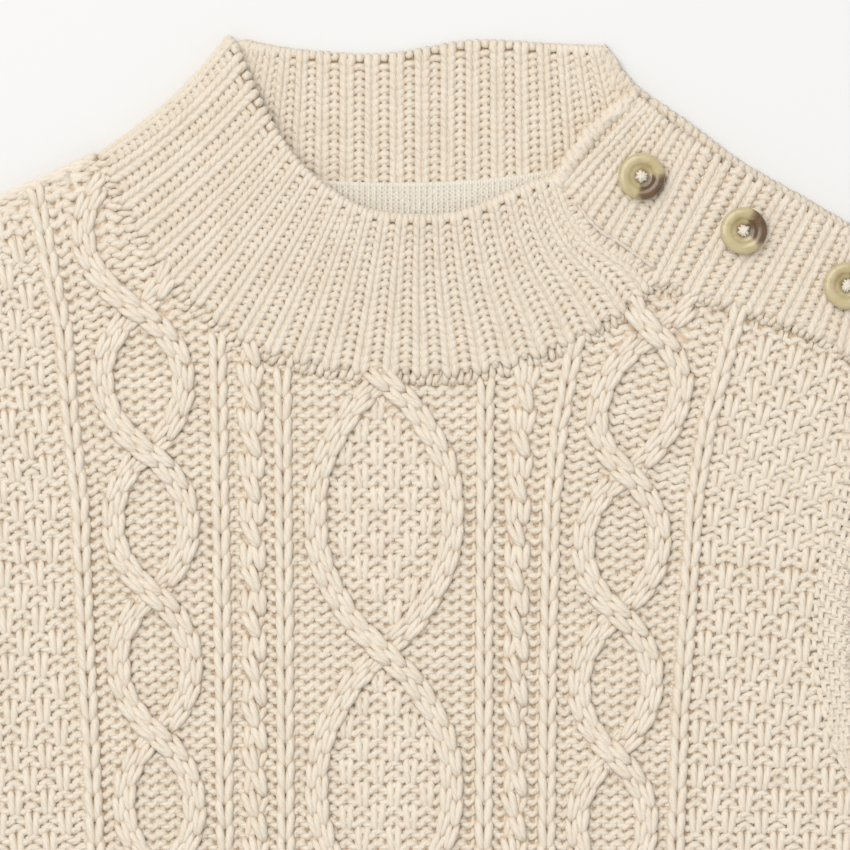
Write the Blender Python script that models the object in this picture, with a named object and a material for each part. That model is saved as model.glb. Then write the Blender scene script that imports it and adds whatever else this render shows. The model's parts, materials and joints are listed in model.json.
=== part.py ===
"""A small child's cable-knit sweater, laid flat on its back with its front up.

Metres, +Z up. The origin is under the middle of the garment, on the surface it lies on; +Y runs from the
hem to the collar and +X to the wearer's left, where the shoulder buttons. Each knitted piece is a wall
with a plain inside, and cables, chains and ribs are raised in its outer points only.
"""

import math
from collections import namedtuple

import bmesh
import bpy
import numpy as np

MM = 0.001  # the sizes and tables below are in millimetres

# ---- driving dimensions -------------------------------------------------------------------------------
CHEST_HALF = 150.0
HEM_HALF = 146.0
HEM_Y = -185.2
HEM_RIB = 40.0
UNDERARM_Y = -54.0
CUFF_WIDTH = 70.0
CUFF_RIB = 45.0
CUFF_OUTER = (292.0, -112.0)  # outer corner of the cuff, to the side and up
CUFF_TURN = math.radians(33)  # how far the cuff's end is turned from level
BUTTON_ACROSS = 12.7
BUTTON_THICK = 3.0

SEAM = 0.4  # air between two pieces at a seam
CURVE_ROOM = 0.3  # more of it where two faceted curves run side by side
LAYER = 0.3  # air between two layers
WALL = 2.2  # plain knitting
EDGE_WALL = 1.3  # the same where it rounds over at an edge
FRONT_Z = WALL + LAYER  # inside of the front, above the back
NECK_Z = 3.9  # inside of the front collar and the button band, above the back collar's ribs
COLLAR_WALL = 2.0
COLLAR_LIFT = 4.0  # how far the front collar's free edge stands off the back collar
COLLAR_FOLD_DIP = 2.2  # how far the middle of its fold hangs in
COLLAR_FADE = 0.3  # share of the back collar's height over which its ribs rise from its base
TAPE_WALL = 1.0
SLEEVE_AIR = 1.2  # between the two walls of a sleeve, the room for its hollow in it
SLEEVE_HOLLOW = 0.8
SLEEVE_BULGE = 7.0  # how far a sleeve's sides swell out half way down

CABLE_HIGH = 2.0
CABLE_HALF = 3.1
CROSS_HIGH = 0.9  # further height where one strand lies on the other
CHAIN_HIGH = 1.2
CHAIN_HALF = 2.5
ROPE_HIGH = 1.7
ROPE_HALF = 3.4
RIB_HIGH = 0.9
RIB_KNIT = 0.6  # share of a rib's pitch that stands up
RIB_CREST = 0.28  # share of it that is the crest

ARMHOLE_ROWS = 28  # rows of points between the underarm and the top of the front
CHEST_ROWS = 13  # and between its ribbed hem and the underarm
FRONT_RIBS = 22
BACK_RIBS = 21
BAND_RIBS = 11
HEM_RIBS = 40
CUFF_RIBS = 11
FOLD_STEPS = 5  # lines of points round the collar's fold
COLLAR_ROWS = (0.012, 0.05, 0.4, 0.72, 0.97, 1.0)  # lines of points up a piece, as shares of its height
BAND_ROWS = (0.0, 0.04, 0.5, 0.94, 1.0)
PLAIN_BAND_LINES = (0.0, 0.02, 0.2, 0.4, 0.6, 0.8, 0.98, 1.0)  # and along a band without ribs
HEM_ROWS = (0.0, 0.05, 0.9, 0.98)
TAPE_LINES = 10
HOLLOW_ROWS = (-0.02, 0.2, 0.45, 0.7, 1.02)  # down a sleeve's hollow, open at both ends
HOLLOW_LINES = 6
STRIP_EDGE = 0.75  # a ribbed strip's thickness at its edges, as a share

# ---- tables -------------------------------------------------------------------------------------------
At = namedtuple("At", "x y")

ARMHOLE = [  # from the underarm up to the shoulder tip
    At(150.0, -54.0),
    At(143.8, -42.0),
    At(137.0, -29.0),
    At(130.2, -16.5),
    At(125.6, -8.0),
    At(121.8, 2.0),
    At(118.4, 20.0),
    At(118.6, 35.0),
    At(123.4, 60.0),
    At(128.5, 95.0),
    At(133.5, 129.0),
]
LEFT_SHOULDER = [At(-133.5, 129.0), At(-105.0, 141.5), At(-77.5, 154.0)]
FRONT_NECK = [
    At(-77.5, 154.0),
    At(-75.0, 149.0),
    At(-71.0, 141.8),
    At(-62.5, 128.5),
    At(-54.5, 118.5),
    At(-44.5, 108.5),
    At(-34.5, 102.3),
    At(-22.0, 98.0),
    At(-8.0, 95.6),
    At(8.0, 94.6),
    At(26.0, 95.4),
    At(42.5, 99.6),
    At(58.5, 107.5),
    At(73.4, 119.0),
]
FRONT_BAND_SEAM = [At(73.4, 119.0), At(85.6, 115.0), At(101.8, 110.0), At(112.6, 106.2), At(129.3, 97.5)]
BACK_NECK = [
    At(-77.5, 154.0),
    At(-74.0, 150.6),
    At(-66.0, 148.4),
    At(-48.0, 145.0),
    At(-24.0, 141.9),
    At(0.0, 140.7),
    At(24.0, 141.9),
    At(48.0, 144.9),
    At(69.0, 148.6),
]
BACK_BAND_SEAM = [At(69.0, 149.0), At(100.0, 127.0), At(130.3, 104.0)]

CollarRow = namedtuple("CollarRow", "base_x base_y top_x top_y")
BACK_COLLAR = [  # from its right end, at the buttons, to the fold at the left
    CollarRow(68.3, 149.4, 59.0, 182.6),
    CollarRow(48.0, 145.5, 46.0, 183.2),
    CollarRow(24.0, 142.6, 24.0, 184.2),
    CollarRow(0.0, 141.4, 0.0, 180.6),
    CollarRow(-24.0, 142.6, -22.0, 181.6),
    CollarRow(-48.0, 145.7, -34.5, 183.6),
    CollarRow(-66.0, 149.2, -38.0, 184.0),
    CollarRow(-74.0, 151.8, -39.6, 183.0),
]
FRONT_COLLAR = [  # from the fold at the left to its end at the button band
    CollarRow(-74.0, 151.8, -39.6, 183.0),
    CollarRow(-70.2, 142.4, -35.6, 173.5),
    CollarRow(-62.2, 128.8, -29.2, 160.5),
    CollarRow(-50.5, 114.6, -22.6, 151.0),
    CollarRow(-34.3, 102.7, -13.6, 143.4),
    CollarRow(-16.0, 97.0, -4.8, 138.6),
    CollarRow(5.0, 94.9, 7.0, 136.8),
    CollarRow(27.0, 95.8, 20.0, 137.6),
    CollarRow(48.0, 102.4, 33.0, 142.6),
    CollarRow(62.0, 109.8, 41.0, 146.2),
    CollarRow(73.0, 119.3, 47.6, 148.0),
]
COLLAR_END = [  # the front collar's seam with the button band, from its base to its free edge
    At(73.0, 119.3),
    At(68.5, 124.0),
    At(62.6, 127.6),
    At(57.0, 130.8),
    At(51.5, 137.4),
    At(47.6, 148.0),
]

BandRow = namedtuple("BandRow", "low_x low_y high_x high_y")
FRONT_BAND = [  # from its bound-off end at the collar to the armhole
    BandRow(48.7, 148.8, 68.5, 167.5),
    BandRow(53.0, 139.1, 72.6, 164.4),
    BandRow(58.4, 132.6, 76.4, 161.0),
    BandRow(63.9, 129.4, 80.4, 158.2),
    BandRow(69.5, 125.2, 84.6, 155.4),
    BandRow(74.7, 120.3, 91.0, 151.4),
    BandRow(86.3, 116.3, 103.0, 144.4),
    BandRow(102.3, 111.3, 116.0, 137.0),
    BandRow(113.3, 107.4, 125.0, 132.0),
    BandRow(128.6, 99.4, 132.6, 128.4),
]
BACK_BAND = [
    BandRow(69.3, 149.4, 59.6, 183.0),
    BandRow(76.0, 144.6, 67.2, 172.8),
    BandRow(84.0, 138.9, 80.2, 163.6),
    BandRow(97.0, 129.6, 96.0, 151.8),
    BandRow(112.0, 118.6, 113.0, 142.0),
    BandRow(130.0, 104.8, 133.0, 130.4),
]
BACK_BAND_CLEAR = 0.9  # keeps the back band off the curve of the back's edge

TAPE = [At(-48.0, 145.1), At(-24.0, 141.9), At(4.0, 140.7), At(30.0, 141.9), At(52.0, 145.3)]
TAPE_WIDE = 10.0

SleeveFold = namedtuple("SleeveFold", "start high")  # where it starts across the sleeve, and its height
SLEEVE_FOLDS = [SleeveFold(0.30, 2.2), SleeveFold(0.62, 1.4)]
FOLD_HALF = 0.09  # half a fold's width, and below that its middle and half length down the sleeve
FOLD_MIDDLE = 0.2
FOLD_REACH = 0.17

Fan = namedtuple("Fan", "y inner middle outer")  # across, of the three chains on one side, at a height y
LEFT_FAN = [
    Fan(145.0, 27.6, 46.5, 94.0),
    Fan(124.0, 27.4, 45.8, 90.0),
    Fan(104.0, 27.3, 44.8, 86.0),
    Fan(83.0, 27.1, 44.3, 84.5),
    Fan(60.0, 26.9, 43.9, 81.8),
    Fan(22.0, 26.5, 43.3, 80.3),
    Fan(-34.0, 26.2, 42.6, 77.5),
    Fan(-190.0, 26.2, 42.6, 77.5),
]
RIGHT_FAN = [
    Fan(145.0, 28.5, 60.0, 108.0),
    Fan(124.0, 28.2, 56.5, 100.0),
    Fan(105.0, 27.9, 52.4, 94.2),
    Fan(80.0, 27.6, 47.6, 87.6),
    Fan(60.0, 27.5, 45.6, 84.2),
    Fan(29.0, 27.4, 44.8, 82.2),
    Fan(1.0, 27.3, 44.5, 80.2),
    Fan(-34.0, 27.2, 44.2, 79.0),
    Fan(-190.0, 27.2, 44.2, 79.0),
]
INNER, MIDDLE, OUTER = 27.3, 45.0, 82.0  # the chains' places on the pattern
ROPE_AT = 36.0

Cable = namedtuple("Cable", "at swing pitch crossing")  # place, half spread, length and one crossing's y
DIAMOND = Cable(0.0, 18.6, 73.8, 93.0)
LEFT_OVAL = Cable(-63.5, 9.9, 38.2, 73.2)
RIGHT_OVAL = Cable(63.5, 9.9, 37.9, 67.4)

Spread = namedtuple("Spread", "turn share")  # how far two strands have parted, along half a cable
SPREADS = [
    Spread(0.0, 0.0),
    Spread(0.1, 0.42),
    Spread(0.2, 0.68),
    Spread(0.3, 0.88),
    Spread(0.4, 0.98),
    Spread(0.5, 1.0),
]

Button = namedtuple("Button", "name x y")
BUTTONS = [Button("button_1", 69.7, 147.4), Button("button_2", 97.2, 132.8), Button("button_3", 125.0, 118.0)]
Turn = namedtuple("Turn", "r z")  # a button's profile from its middle to its rim
BUTTON_PROFILE = [
    Turn(0.0, 0.0),
    Turn(5.0, 0.0),
    Turn(6.1, 0.9),
    Turn(6.35, 1.8),
    Turn(5.9, 2.8),
    Turn(5.2, 3.0),
    Turn(4.2, 2.4),
    Turn(0.0, 2.1),
]
BUTTON_SIDES = 24


# ---- curves -------------------------------------------------------------------------------------------
def through(knots, values, at):
    """Values on a smooth curve through rows of values at rising knots."""
    knots = np.asarray(knots, float)
    values = np.asarray(values, float)
    slopes = np.gradient(values, knots, axis=0)
    at = min(max(at, knots[0]), knots[-1])
    i = min(int(np.searchsorted(knots, at, side="right")) - 1, len(knots) - 2)
    span = knots[i + 1] - knots[i]
    s = (at - knots[i]) / span
    return (
        (2 * s**3 - 3 * s**2 + 1) * values[i]
        + (s**3 - 2 * s**2 + s) * span * slopes[i]
        + (3 * s**2 - 2 * s**3) * values[i + 1]
        + (s**3 - s**2) * span * slopes[i + 1]
    )


def along(rows, share):
    """The row at a share of the way along a smooth line through rows, by its first two columns' length."""
    values = np.array(rows)
    steps = np.hypot(*np.diff(values[:, :2], axis=0).T)
    lengths = np.concatenate([[0.0], np.cumsum(steps)])
    return through(lengths, values, share * lengths[-1])


def height_at(rows, x):
    """The y of a line of rows at x, whichever way round its rows run."""
    rows = sorted(rows)
    return float(through([r.x for r in rows], [r.y for r in rows], x))


def side_x(y):
    """Half the body's width at a height: the side seam, then the armhole."""
    if y >= UNDERARM_Y:
        return float(through([r.y for r in ARMHOLE], [r.x for r in ARMHOLE], y))
    return float(np.interp(y, [HEM_Y, HEM_Y + HEM_RIB, UNDERARM_Y], [HEM_HALF, 149.0, CHEST_HALF]))


def front_top(x):
    if x < FRONT_NECK[0].x:
        return height_at(LEFT_SHOULDER, x)
    if x > FRONT_NECK[-1].x:
        return height_at(FRONT_BAND_SEAM, x)
    return height_at(FRONT_NECK, x)


def back_top(x):
    if x < BACK_NECK[0].x:
        return height_at(LEFT_SHOULDER, x)
    if x > BACK_NECK[-1].x:
        return height_at(BACK_BAND_SEAM, x)
    return height_at(BACK_NECK, x)


# ---- the stitch pattern -------------------------------------------------------------------------------
def wale_x(u, y):
    """Where the wale at place u on the pattern lies across the garment at height y."""
    fan = LEFT_FAN if u < 0 else RIGHT_FAN
    heights = [row.y for row in reversed(fan)]
    chains = [
        np.interp(y, heights, [getattr(row, name) for row in reversed(fan)]) for name in ("inner", "middle", "outer")
    ]
    places = [0.0, INNER, MIDDLE, OUTER, CHEST_HALF]
    return math.copysign(np.interp(abs(u), places, [0.0, *chains, side_x(y)]), u)


def spread(cable, y):
    """How far each strand of a cable lies from its middle at height y."""
    turn = abs((y - cable.crossing) / cable.pitch) % 1.0
    return cable.swing * np.interp(min(turn, 1 - turn), [s.turn for s in SPREADS], [s.share for s in SPREADS])


def ridge(off, half, high):
    """The height of a rounded ridge at a distance off its middle."""
    return high * math.sqrt(max(0.0, 1 - (off / half) ** 2))


def cable_relief(cable, u, y):
    apart = spread(cable, y)
    nearest = abs(abs(u - cable.at) - apart)
    crossing = CROSS_HIGH * max(0.0, 1 - apart / CABLE_HALF)
    return ridge(nearest, CABLE_HALF, CABLE_HIGH + crossing)


def relief(u, y):
    """How far the knitting stands up at place u on the pattern and height y."""
    high = max(cable_relief(cable, u, y) for cable in (DIAMOND, LEFT_OVAL, RIGHT_OVAL))
    for chain in (INNER, MIDDLE, OUTER):
        high = max(high, ridge(abs(u) - chain, CHAIN_HALF, CHAIN_HIGH))
    return max(high, ridge(abs(u) - ROPE_AT, ROPE_HALF, ROPE_HIGH))


def cable_columns(cable):
    """Columns that follow a cable: the edges and shoulders of both strands, kept in order at a crossing."""
    columns = []
    for step, least in ((-1.0, 0.5), (-0.5, 1.2), (0.5, 2.0), (1.0, 3.3)):
        for side in (-1, 1):
            columns.append(
                lambda y, step=step, least=least, side=side: cable.at
                + side * max(spread(cable, y) + step * CABLE_HALF, least)
            )
    return [lambda y: cable.at, *columns]


def front_columns():
    """Each column of the front's points, as its place on the pattern at a height y, from left to right."""
    columns = [column for cable in (DIAMOND, LEFT_OVAL, RIGHT_OVAL) for column in cable_columns(cable)]
    for side in (-1, 1):
        for chain in (INNER, MIDDLE, OUTER):
            columns += [lambda y, u=side * (chain + off): u for off in (-CHAIN_HALF, 0.0, CHAIN_HALF)]
        columns += [lambda y, u=side * (ROPE_AT + off * ROPE_HALF): u for off in (-1.0, -0.6, 0.0, 0.6, 1.0)]
        columns += [lambda y, u=side * place: u for place in (104.0, 126.0, 146.0, 149.0, CHEST_HALF)]
    return sorted(columns, key=lambda column: column(DIAMOND.crossing - DIAMOND.pitch / 2))


# ---- solids -------------------------------------------------------------------------------------------
def material(name, colour, rough):
    made = bpy.data.materials.new(name)
    made.use_nodes = True
    shader = made.node_tree.nodes["Principled BSDF"]
    shader.inputs["Base Color"].default_value = (*colour, 1.0)
    shader.inputs["Roughness"].default_value = rough
    shader.inputs["Metallic"].default_value = 0.0
    return made


def finish(name, bm, finish_material, smooth_below=math.radians(40)):
    """Turns a bmesh in millimetres into a named object in metres."""
    bmesh.ops.recalc_face_normals(bm, faces=bm.faces)
    if bm.calc_volume(signed=True) < 0:
        bmesh.ops.reverse_faces(bm, faces=bm.faces)
    bmesh.ops.scale(bm, vec=(MM, MM, MM), verts=bm.verts)
    mesh = bpy.data.meshes.new(name)
    bm.to_mesh(mesh)
    bm.free()
    mesh.shade_smooth()
    mesh.set_sharp_from_angle(angle=smooth_below)
    mesh.materials.append(finish_material)
    made = bpy.data.objects.new(name, mesh)
    bpy.context.scene.collection.objects.link(made)
    return made


Patch = namedtuple("Patch", "across up inner outer")  # a grid of points on both faces of a wall


def shell(name, patches, finish_material, flat_inside=True):
    """A closed wall over one or more patches, each knitted on below the one before it."""
    bm = bmesh.new()
    number = bm.verts.layers.int.new("number")
    points = []
    lowest = []
    for patch in patches:
        first = len(points)
        made = bmesh.ops.create_grid(bm, x_segments=patch.across, y_segments=patch.up, size=0.5)["verts"]
        for vert in made:
            i = round((vert.co.x + 0.5) * patch.across)
            j = round((vert.co.y + 0.5) * patch.up)
            vert[number] = first + i * (patch.up + 1) + j
        for i in range(patch.across + 1):
            points += [(patch.inner(i, j), patch.outer(i, j)) for j in range(patch.up + 1)]
        edges = {edge for vert in made for edge in vert.link_edges}

        def row(j):
            return [e for e in edges if all((v[number] - first) % (patch.up + 1) == j for v in e.verts)]

        if lowest:
            bmesh.ops.bridge_loops(bm, edges=lowest + row(patch.up))
        lowest = row(0)
    for vert in bm.verts:
        vert.co = points[vert[number]][0]
    inside = bm.faces[:]
    grown = bmesh.ops.extrude_face_region(bm, geom=inside, use_keep_orig=True)["geom"]
    for vert in (g for g in grown if isinstance(g, bmesh.types.BMVert)):
        vert.co = points[vert[number]][1]
    if flat_inside:
        level = bmesh.ops.dissolve_faces(bm, faces=inside, use_verts=True)["region"]
        bmesh.ops.triangulate(bm, faces=level)
    return finish(name, bm, finish_material)


def level_patch(across, up, place, high, under):
    """A patch with a level inside: its points lie at place(i, j), its outer face high(i, j) above that."""
    return Patch(
        across, up, lambda i, j: (*place(i, j), under), lambda i, j: (*place(i, j), under + high(i, j))
    )


def slab(name, across, up, place, high, under, finish_material):
    return shell(name, [level_patch(across, up, place, high, under)], finish_material)


def cut(target, cutter):
    cutter.hide_render = True
    cutter.display_type = "WIRE"
    boolean = target.modifiers.new("hollow", "BOOLEAN")
    boolean.operation = "DIFFERENCE"
    boolean.object = cutter


EDGE_SHARES = {0: EDGE_WALL / WALL, 1: 0.86}  # a wall's thickness at its edge and one point in


def rounded(i, last):
    """The share of a wall's thickness at point i of 0 to last, which rounds over at both ends."""
    return EDGE_SHARES.get(min(i, last - i), 1.0)


TOP_INSET = (0.02, 0.008, 0.0)  # close rows where the top edge rounds, as shares of the way down from it


def body_place(columns, across_at, chest_rows, armhole_rows, low_y, top_of):
    """place(i, j) of a body panel: columns run up from low_y, by way of the underarm's level, to its top."""
    tops = {}
    even = list(np.linspace(0, 1, armhole_rows + 1)[: -len(TOP_INSET)])
    shares = even + [1 - inset for inset in TOP_INSET]

    def top_point(i):
        """The first height at which column i meets the panel's top, to a hundredth of a millimetre."""
        y = UNDERARM_Y
        for step in (1.0, 0.1, 0.01):
            while y + step < top_of(across_at(columns[i](y + step), y + step)):
                y += step
        return y

    def place(i, j):
        if j <= chest_rows:
            y = low_y + (UNDERARM_Y - low_y) * j / chest_rows
        else:
            if i not in tops:
                tops[i] = top_point(i)
            y = UNDERARM_Y + (tops[i] - UNDERARM_Y) * shares[j - chest_rows]
        return across_at(columns[i](y), y), y

    return place


def rib_lines(ribs, first=0.0, last=1.0):
    """Places of the lines of points across ribs, as shares of the way, with True on a crest."""
    lines = []
    for rib in range(ribs):
        middle = (rib + 0.5) / ribs
        for off, crest in ((-RIB_KNIT, False), (-RIB_CREST, True), (RIB_CREST, True), (RIB_KNIT, False)):
            lines.append((first + (last - first) * (middle + off / 2 / ribs), crest))
    return [(first, False), *lines, (last, False)]


# ---- pieces -------------------------------------------------------------------------------------------
def make_back(knit):
    """The back: plain on its inside, flat on the surface below."""
    half = [0.0, 16.0, 32.0, 48.0, 62.0, 73.0, 80.0, 87.0, 104.0, 126.0, 146.0, 149.0, 150.0]
    columns = [lambda y, u=u: u for u in (*(-u for u in reversed(half[1:])), *half)]
    chest_rows, armhole_rows = 3, 17
    place = body_place(
        columns, lambda u, y: u * side_x(y) / CHEST_HALF, chest_rows, armhole_rows, HEM_Y, back_top
    )
    up = chest_rows + armhole_rows
    across = len(columns) - 1

    def high(i, j):
        return WALL * min(rounded(i, across), EDGE_SHARES.get(up - j, 1.0), EDGE_SHARES.get(j, 1.0))

    return slab("back", across, up, place, high, 0.0, knit)


def make_front(knit):
    """The front, with its cables, ropes and chains, and the ribbed hem knitted on below them."""
    columns = front_columns()
    rib_top = HEM_Y + HEM_RIB
    place = body_place(columns, wale_x, CHEST_ROWS, ARMHOLE_ROWS, rib_top, front_top)
    across = len(columns) - 1
    up = CHEST_ROWS + ARMHOLE_ROWS

    def high(i, j):
        share = min(rounded(i, across), EDGE_SHARES.get(up - j, 1.0))
        y = place(i, j)[1]
        return share * (WALL + relief(columns[i](y), y))

    lines = rib_lines(HEM_RIBS)

    def hem_place(i, j):
        y = HEM_Y + HEM_RIB * HEM_ROWS[j]
        return side_x(y) * (2 * lines[i][0] - 1), y

    def hem_high(i, j):
        crest = RIB_HIGH if lines[i][1] and 0 < j < len(HEM_ROWS) - 1 else 0.0
        return (WALL + crest) * EDGE_SHARES.get(j, 1.0) * rounded(i, len(lines) - 1)

    body = level_patch(across, up, place, high, FRONT_Z)
    hem = level_patch(len(lines) - 1, len(HEM_ROWS) - 1, hem_place, hem_high, FRONT_Z)
    return shell("front", [body, hem], knit)


def make_sleeve(name, side, knit):
    """A sleeve: a tube laid flat, open at the armhole and at its ribbed cuff."""
    long = math.hypot(CUFF_OUTER[0] - ARMHOLE[-1].x, CUFF_OUTER[1] - ARMHOLE[-1].y)
    rib_share = CUFF_RIB / long
    levels = [0.0, 0.012, 0.12, 0.26, 0.42, 0.62, 1 - rib_share, 1.02 - rib_share, 0.99, 1.0]
    lines = rib_lines(CUFF_RIBS)
    across = len(lines) - 1
    out = np.array([math.cos(CUFF_TURN), math.sin(CUFF_TURN)])

    def at(w, t):
        hole = along(ARMHOLE, w) + (SEAM + CURVE_ROOM, 0.0)
        cuff = np.array(CUFF_OUTER) - out * CUFF_WIDTH * (1 - w)
        bulge = math.sin(math.pi * min(1.0, t * 1.1)) * SLEEVE_BULGE * (2 * w - 1)
        x, y = hole + (cuff - hole) * t + bulge * out
        return side * x, y

    def place(i, j):
        return at(lines[i][0], levels[j])

    def fold(w, t):
        """Two soft folds that fan out from the underarm."""
        high = 0.0
        for crease in SLEEVE_FOLDS:
            off = w - crease.start * (0.4 + 1.2 * t)
            down = t - FOLD_MIDDLE
            high += crease.high * math.exp(-((off / FOLD_HALF) ** 2)) * math.exp(-((down / FOLD_REACH) ** 2))
        return high

    def high(i, j):
        w, crest = lines[i]
        in_rib = j > levels.index(1 - rib_share)
        wall = 2 * WALL + SLEEVE_AIR + fold(w, levels[j]) + (RIB_HIGH if crest and in_rib else 0.0)
        across_share = {0: 0.45, 1: 0.8}.get(min(i, across - i), 1.0)
        return wall * min(across_share, 0.9 if j in (0, len(levels) - 1) else 1.0)

    sleeve = slab(name, across, len(levels) - 1, place, high, 0.0, knit)

    def hollow_place(i, j):
        return at(0.06 + 0.88 * i / HOLLOW_LINES, HOLLOW_ROWS[j])

    hollow = slab(
        name + "_hollow",
        HOLLOW_LINES,
        len(HOLLOW_ROWS) - 1,
        hollow_place,
        lambda i, j: SLEEVE_HOLLOW,
        WALL,
        knit,
    )
    cut(sleeve, hollow)
    return sleeve


def make_collar(knit):
    """The collar: one ribbed strip, folded at the left neck point and open at the button band."""
    back_lines = rib_lines(BACK_RIBS)
    front_lines = rib_lines(FRONT_RIBS)
    stations_across = [("back", t, crest) for t, crest in back_lines]
    stations_across += [("fold", (k + 1) / (FOLD_STEPS + 1), False) for k in range(FOLD_STEPS)]
    stations_across += [("front", t, crest) for t, crest in front_lines]
    last_row = len(COLLAR_ROWS) - 1
    edge = {0: STRIP_EDGE, last_row: STRIP_EDGE}
    fold_side = np.array([0.66, -0.75])  # the way from the fold's edge into the collar
    outer_r = (NECK_Z + COLLAR_WALL) / 2
    inner_r = (NECK_Z - WALL) / 2
    inner_z = WALL + inner_r

    def bow(rows, t, h):
        """The strip's point at a share t along and h up; its fold dips a little, its end follows the seam."""
        base_x, base_y, top_x, top_y = along(rows, t)
        point = np.array([base_x + (top_x - base_x) * h, base_y + (top_y - base_y) * h])
        at_fold = (1 - t if rows is FRONT_COLLAR else t) ** 6
        point += fold_side * COLLAR_FOLD_DIP * at_fold * 4 * h * (1 - h)
        if rows is FRONT_COLLAR:
            last = rows[-1]
            straight = np.array([last.base_x, last.base_y]) * (1 - h) + np.array([last.top_x, last.top_y]) * h
            point += (along(COLLAR_END, h) - straight) * t**5
        return point

    def lift(t, h):
        """The free edge of the front stands off the back, most in the middle."""
        return COLLAR_LIFT * h**1.5 * math.sin(math.pi * min(1.0, t * 1.05)) ** 0.8

    def point(i, j, on_outside):
        part, t, crest = stations_across[i]
        h = COLLAR_ROWS[j]
        share = edge.get(j, 1.0)
        if part == "back":
            x, y = bow(BACK_COLLAR, t, h)
            fade = min(1.0, h / COLLAR_FADE)
            wall = WALL * share + (RIB_HIGH * fade if crest else 0.0)
            return (x, y, 0.0) if on_outside else (x, y, wall)
        if part == "front":
            x, y = bow(FRONT_COLLAR, t, h)
            inside = NECK_Z + lift(t, h)
            wall = COLLAR_WALL * share + (RIB_HIGH if crest and 0 < j < last_row else 0.0)
            return (x, y, inside + wall) if on_outside else (x, y, inside)
        angle = math.pi * (t - 0.5)
        r, z = (outer_r, outer_r) if on_outside else (inner_r, inner_z)
        x, y = bow(FRONT_COLLAR, 0.0, h) - fold_side * r * math.cos(angle)
        return x, y, z + r * math.sin(angle)

    strip = Patch(
        len(stations_across) - 1,
        last_row,
        lambda i, j: point(i, j, False),
        lambda i, j: point(i, j, True),
    )
    return shell("collar", [strip], knit, flat_inside=False)


def make_band(name, rows, under, ribs, knit, clear=0.0):
    """A ribbed strip along the right shoulder, its ribs across it."""
    lines = rib_lines(ribs) if ribs else [(t, False) for t in PLAIN_BAND_LINES]

    def place(i, j):
        low_x, low_y, high_x, high_y = along(rows, lines[i][0])
        long = math.hypot(high_x - low_x, high_y - low_y)
        q = clear / long + (1 - clear / long) * BAND_ROWS[j]
        return low_x + (high_x - low_x) * q, low_y + (high_y - low_y) * q

    def high(i, j):
        inside = 0 < j < len(BAND_ROWS) - 1
        wall = COLLAR_WALL + (RIB_HIGH if lines[i][1] and inside else 0.0)
        return wall * min(rounded(i, len(lines) - 1), 1.0 if inside else STRIP_EDGE)

    return slab(name, len(lines) - 1, len(BAND_ROWS) - 1, place, high, under, knit)


def make_tape(knit):
    """The fine-knit tape that covers the back neck seam inside."""

    def place(i, j):
        x, y = along(TAPE, i / TAPE_LINES)
        return x, y + TAPE_WIDE * (j / 2 - 0.5)

    return slab("neck_tape", TAPE_LINES, 2, place, lambda i, j: TAPE_WALL, FRONT_Z, knit)


def make_button(button, horn):
    """A turned horn button with a dished middle, sewn through to the back band."""
    bm = bmesh.new()
    verts = [bm.verts.new((turn.r, 0.0, turn.z)) for turn in BUTTON_PROFILE]
    edges = [bm.edges.new(pair) for pair in zip(verts, verts[1:])]
    bmesh.ops.spin(
        bm,
        geom=verts + edges,
        cent=(0, 0, 0),
        axis=(0, 0, 1),
        angle=2 * math.pi,
        steps=BUTTON_SIDES,
        use_merge=True,
    )
    bmesh.ops.remove_doubles(bm, verts=bm.verts, dist=0.001)
    under = NECK_Z + COLLAR_WALL + RIB_HIGH + LAYER
    scale = BUTTON_ACROSS / 2 / max(turn.r for turn in BUTTON_PROFILE)
    thick = BUTTON_THICK / max(turn.z for turn in BUTTON_PROFILE)
    bmesh.ops.scale(bm, vec=(scale, scale, thick), verts=bm.verts)
    bmesh.ops.translate(bm, vec=(button.x, button.y, under), verts=bm.verts)
    return finish(button.name, bm, horn)


def main():
    for old in list(bpy.data.objects):
        bpy.data.objects.remove(old)
    knit = material("knit", (0.80, 0.72, 0.60), 0.95)
    rib = material("rib_knit", (0.80, 0.72, 0.60), 0.95)
    tape = material("tape_knit", (0.82, 0.76, 0.66), 0.9)
    horn = material("horn", (0.42, 0.36, 0.2), 0.25)
    make_back(knit)
    make_front(knit)
    make_sleeve("sleeve_left", 1, knit)
    make_sleeve("sleeve_right", -1, knit)
    make_collar(rib)
    make_band("button_band_front", FRONT_BAND, NECK_Z, BAND_RIBS, rib)
    make_band("button_band_back", BACK_BAND, 0.0, 0, rib, clear=BACK_BAND_CLEAR)
    make_tape(tape)
    for button in BUTTONS:
        make_button(button, horn)


main()
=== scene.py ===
"""A small child's cable-knit sweater laid flat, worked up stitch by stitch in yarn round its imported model.

Sizes and tables are in millimetres; meshes are made in metres. +Y runs from the hem to the collar.
"""

import json
import math
import random
from collections import namedtuple
from itertools import groupby

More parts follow.
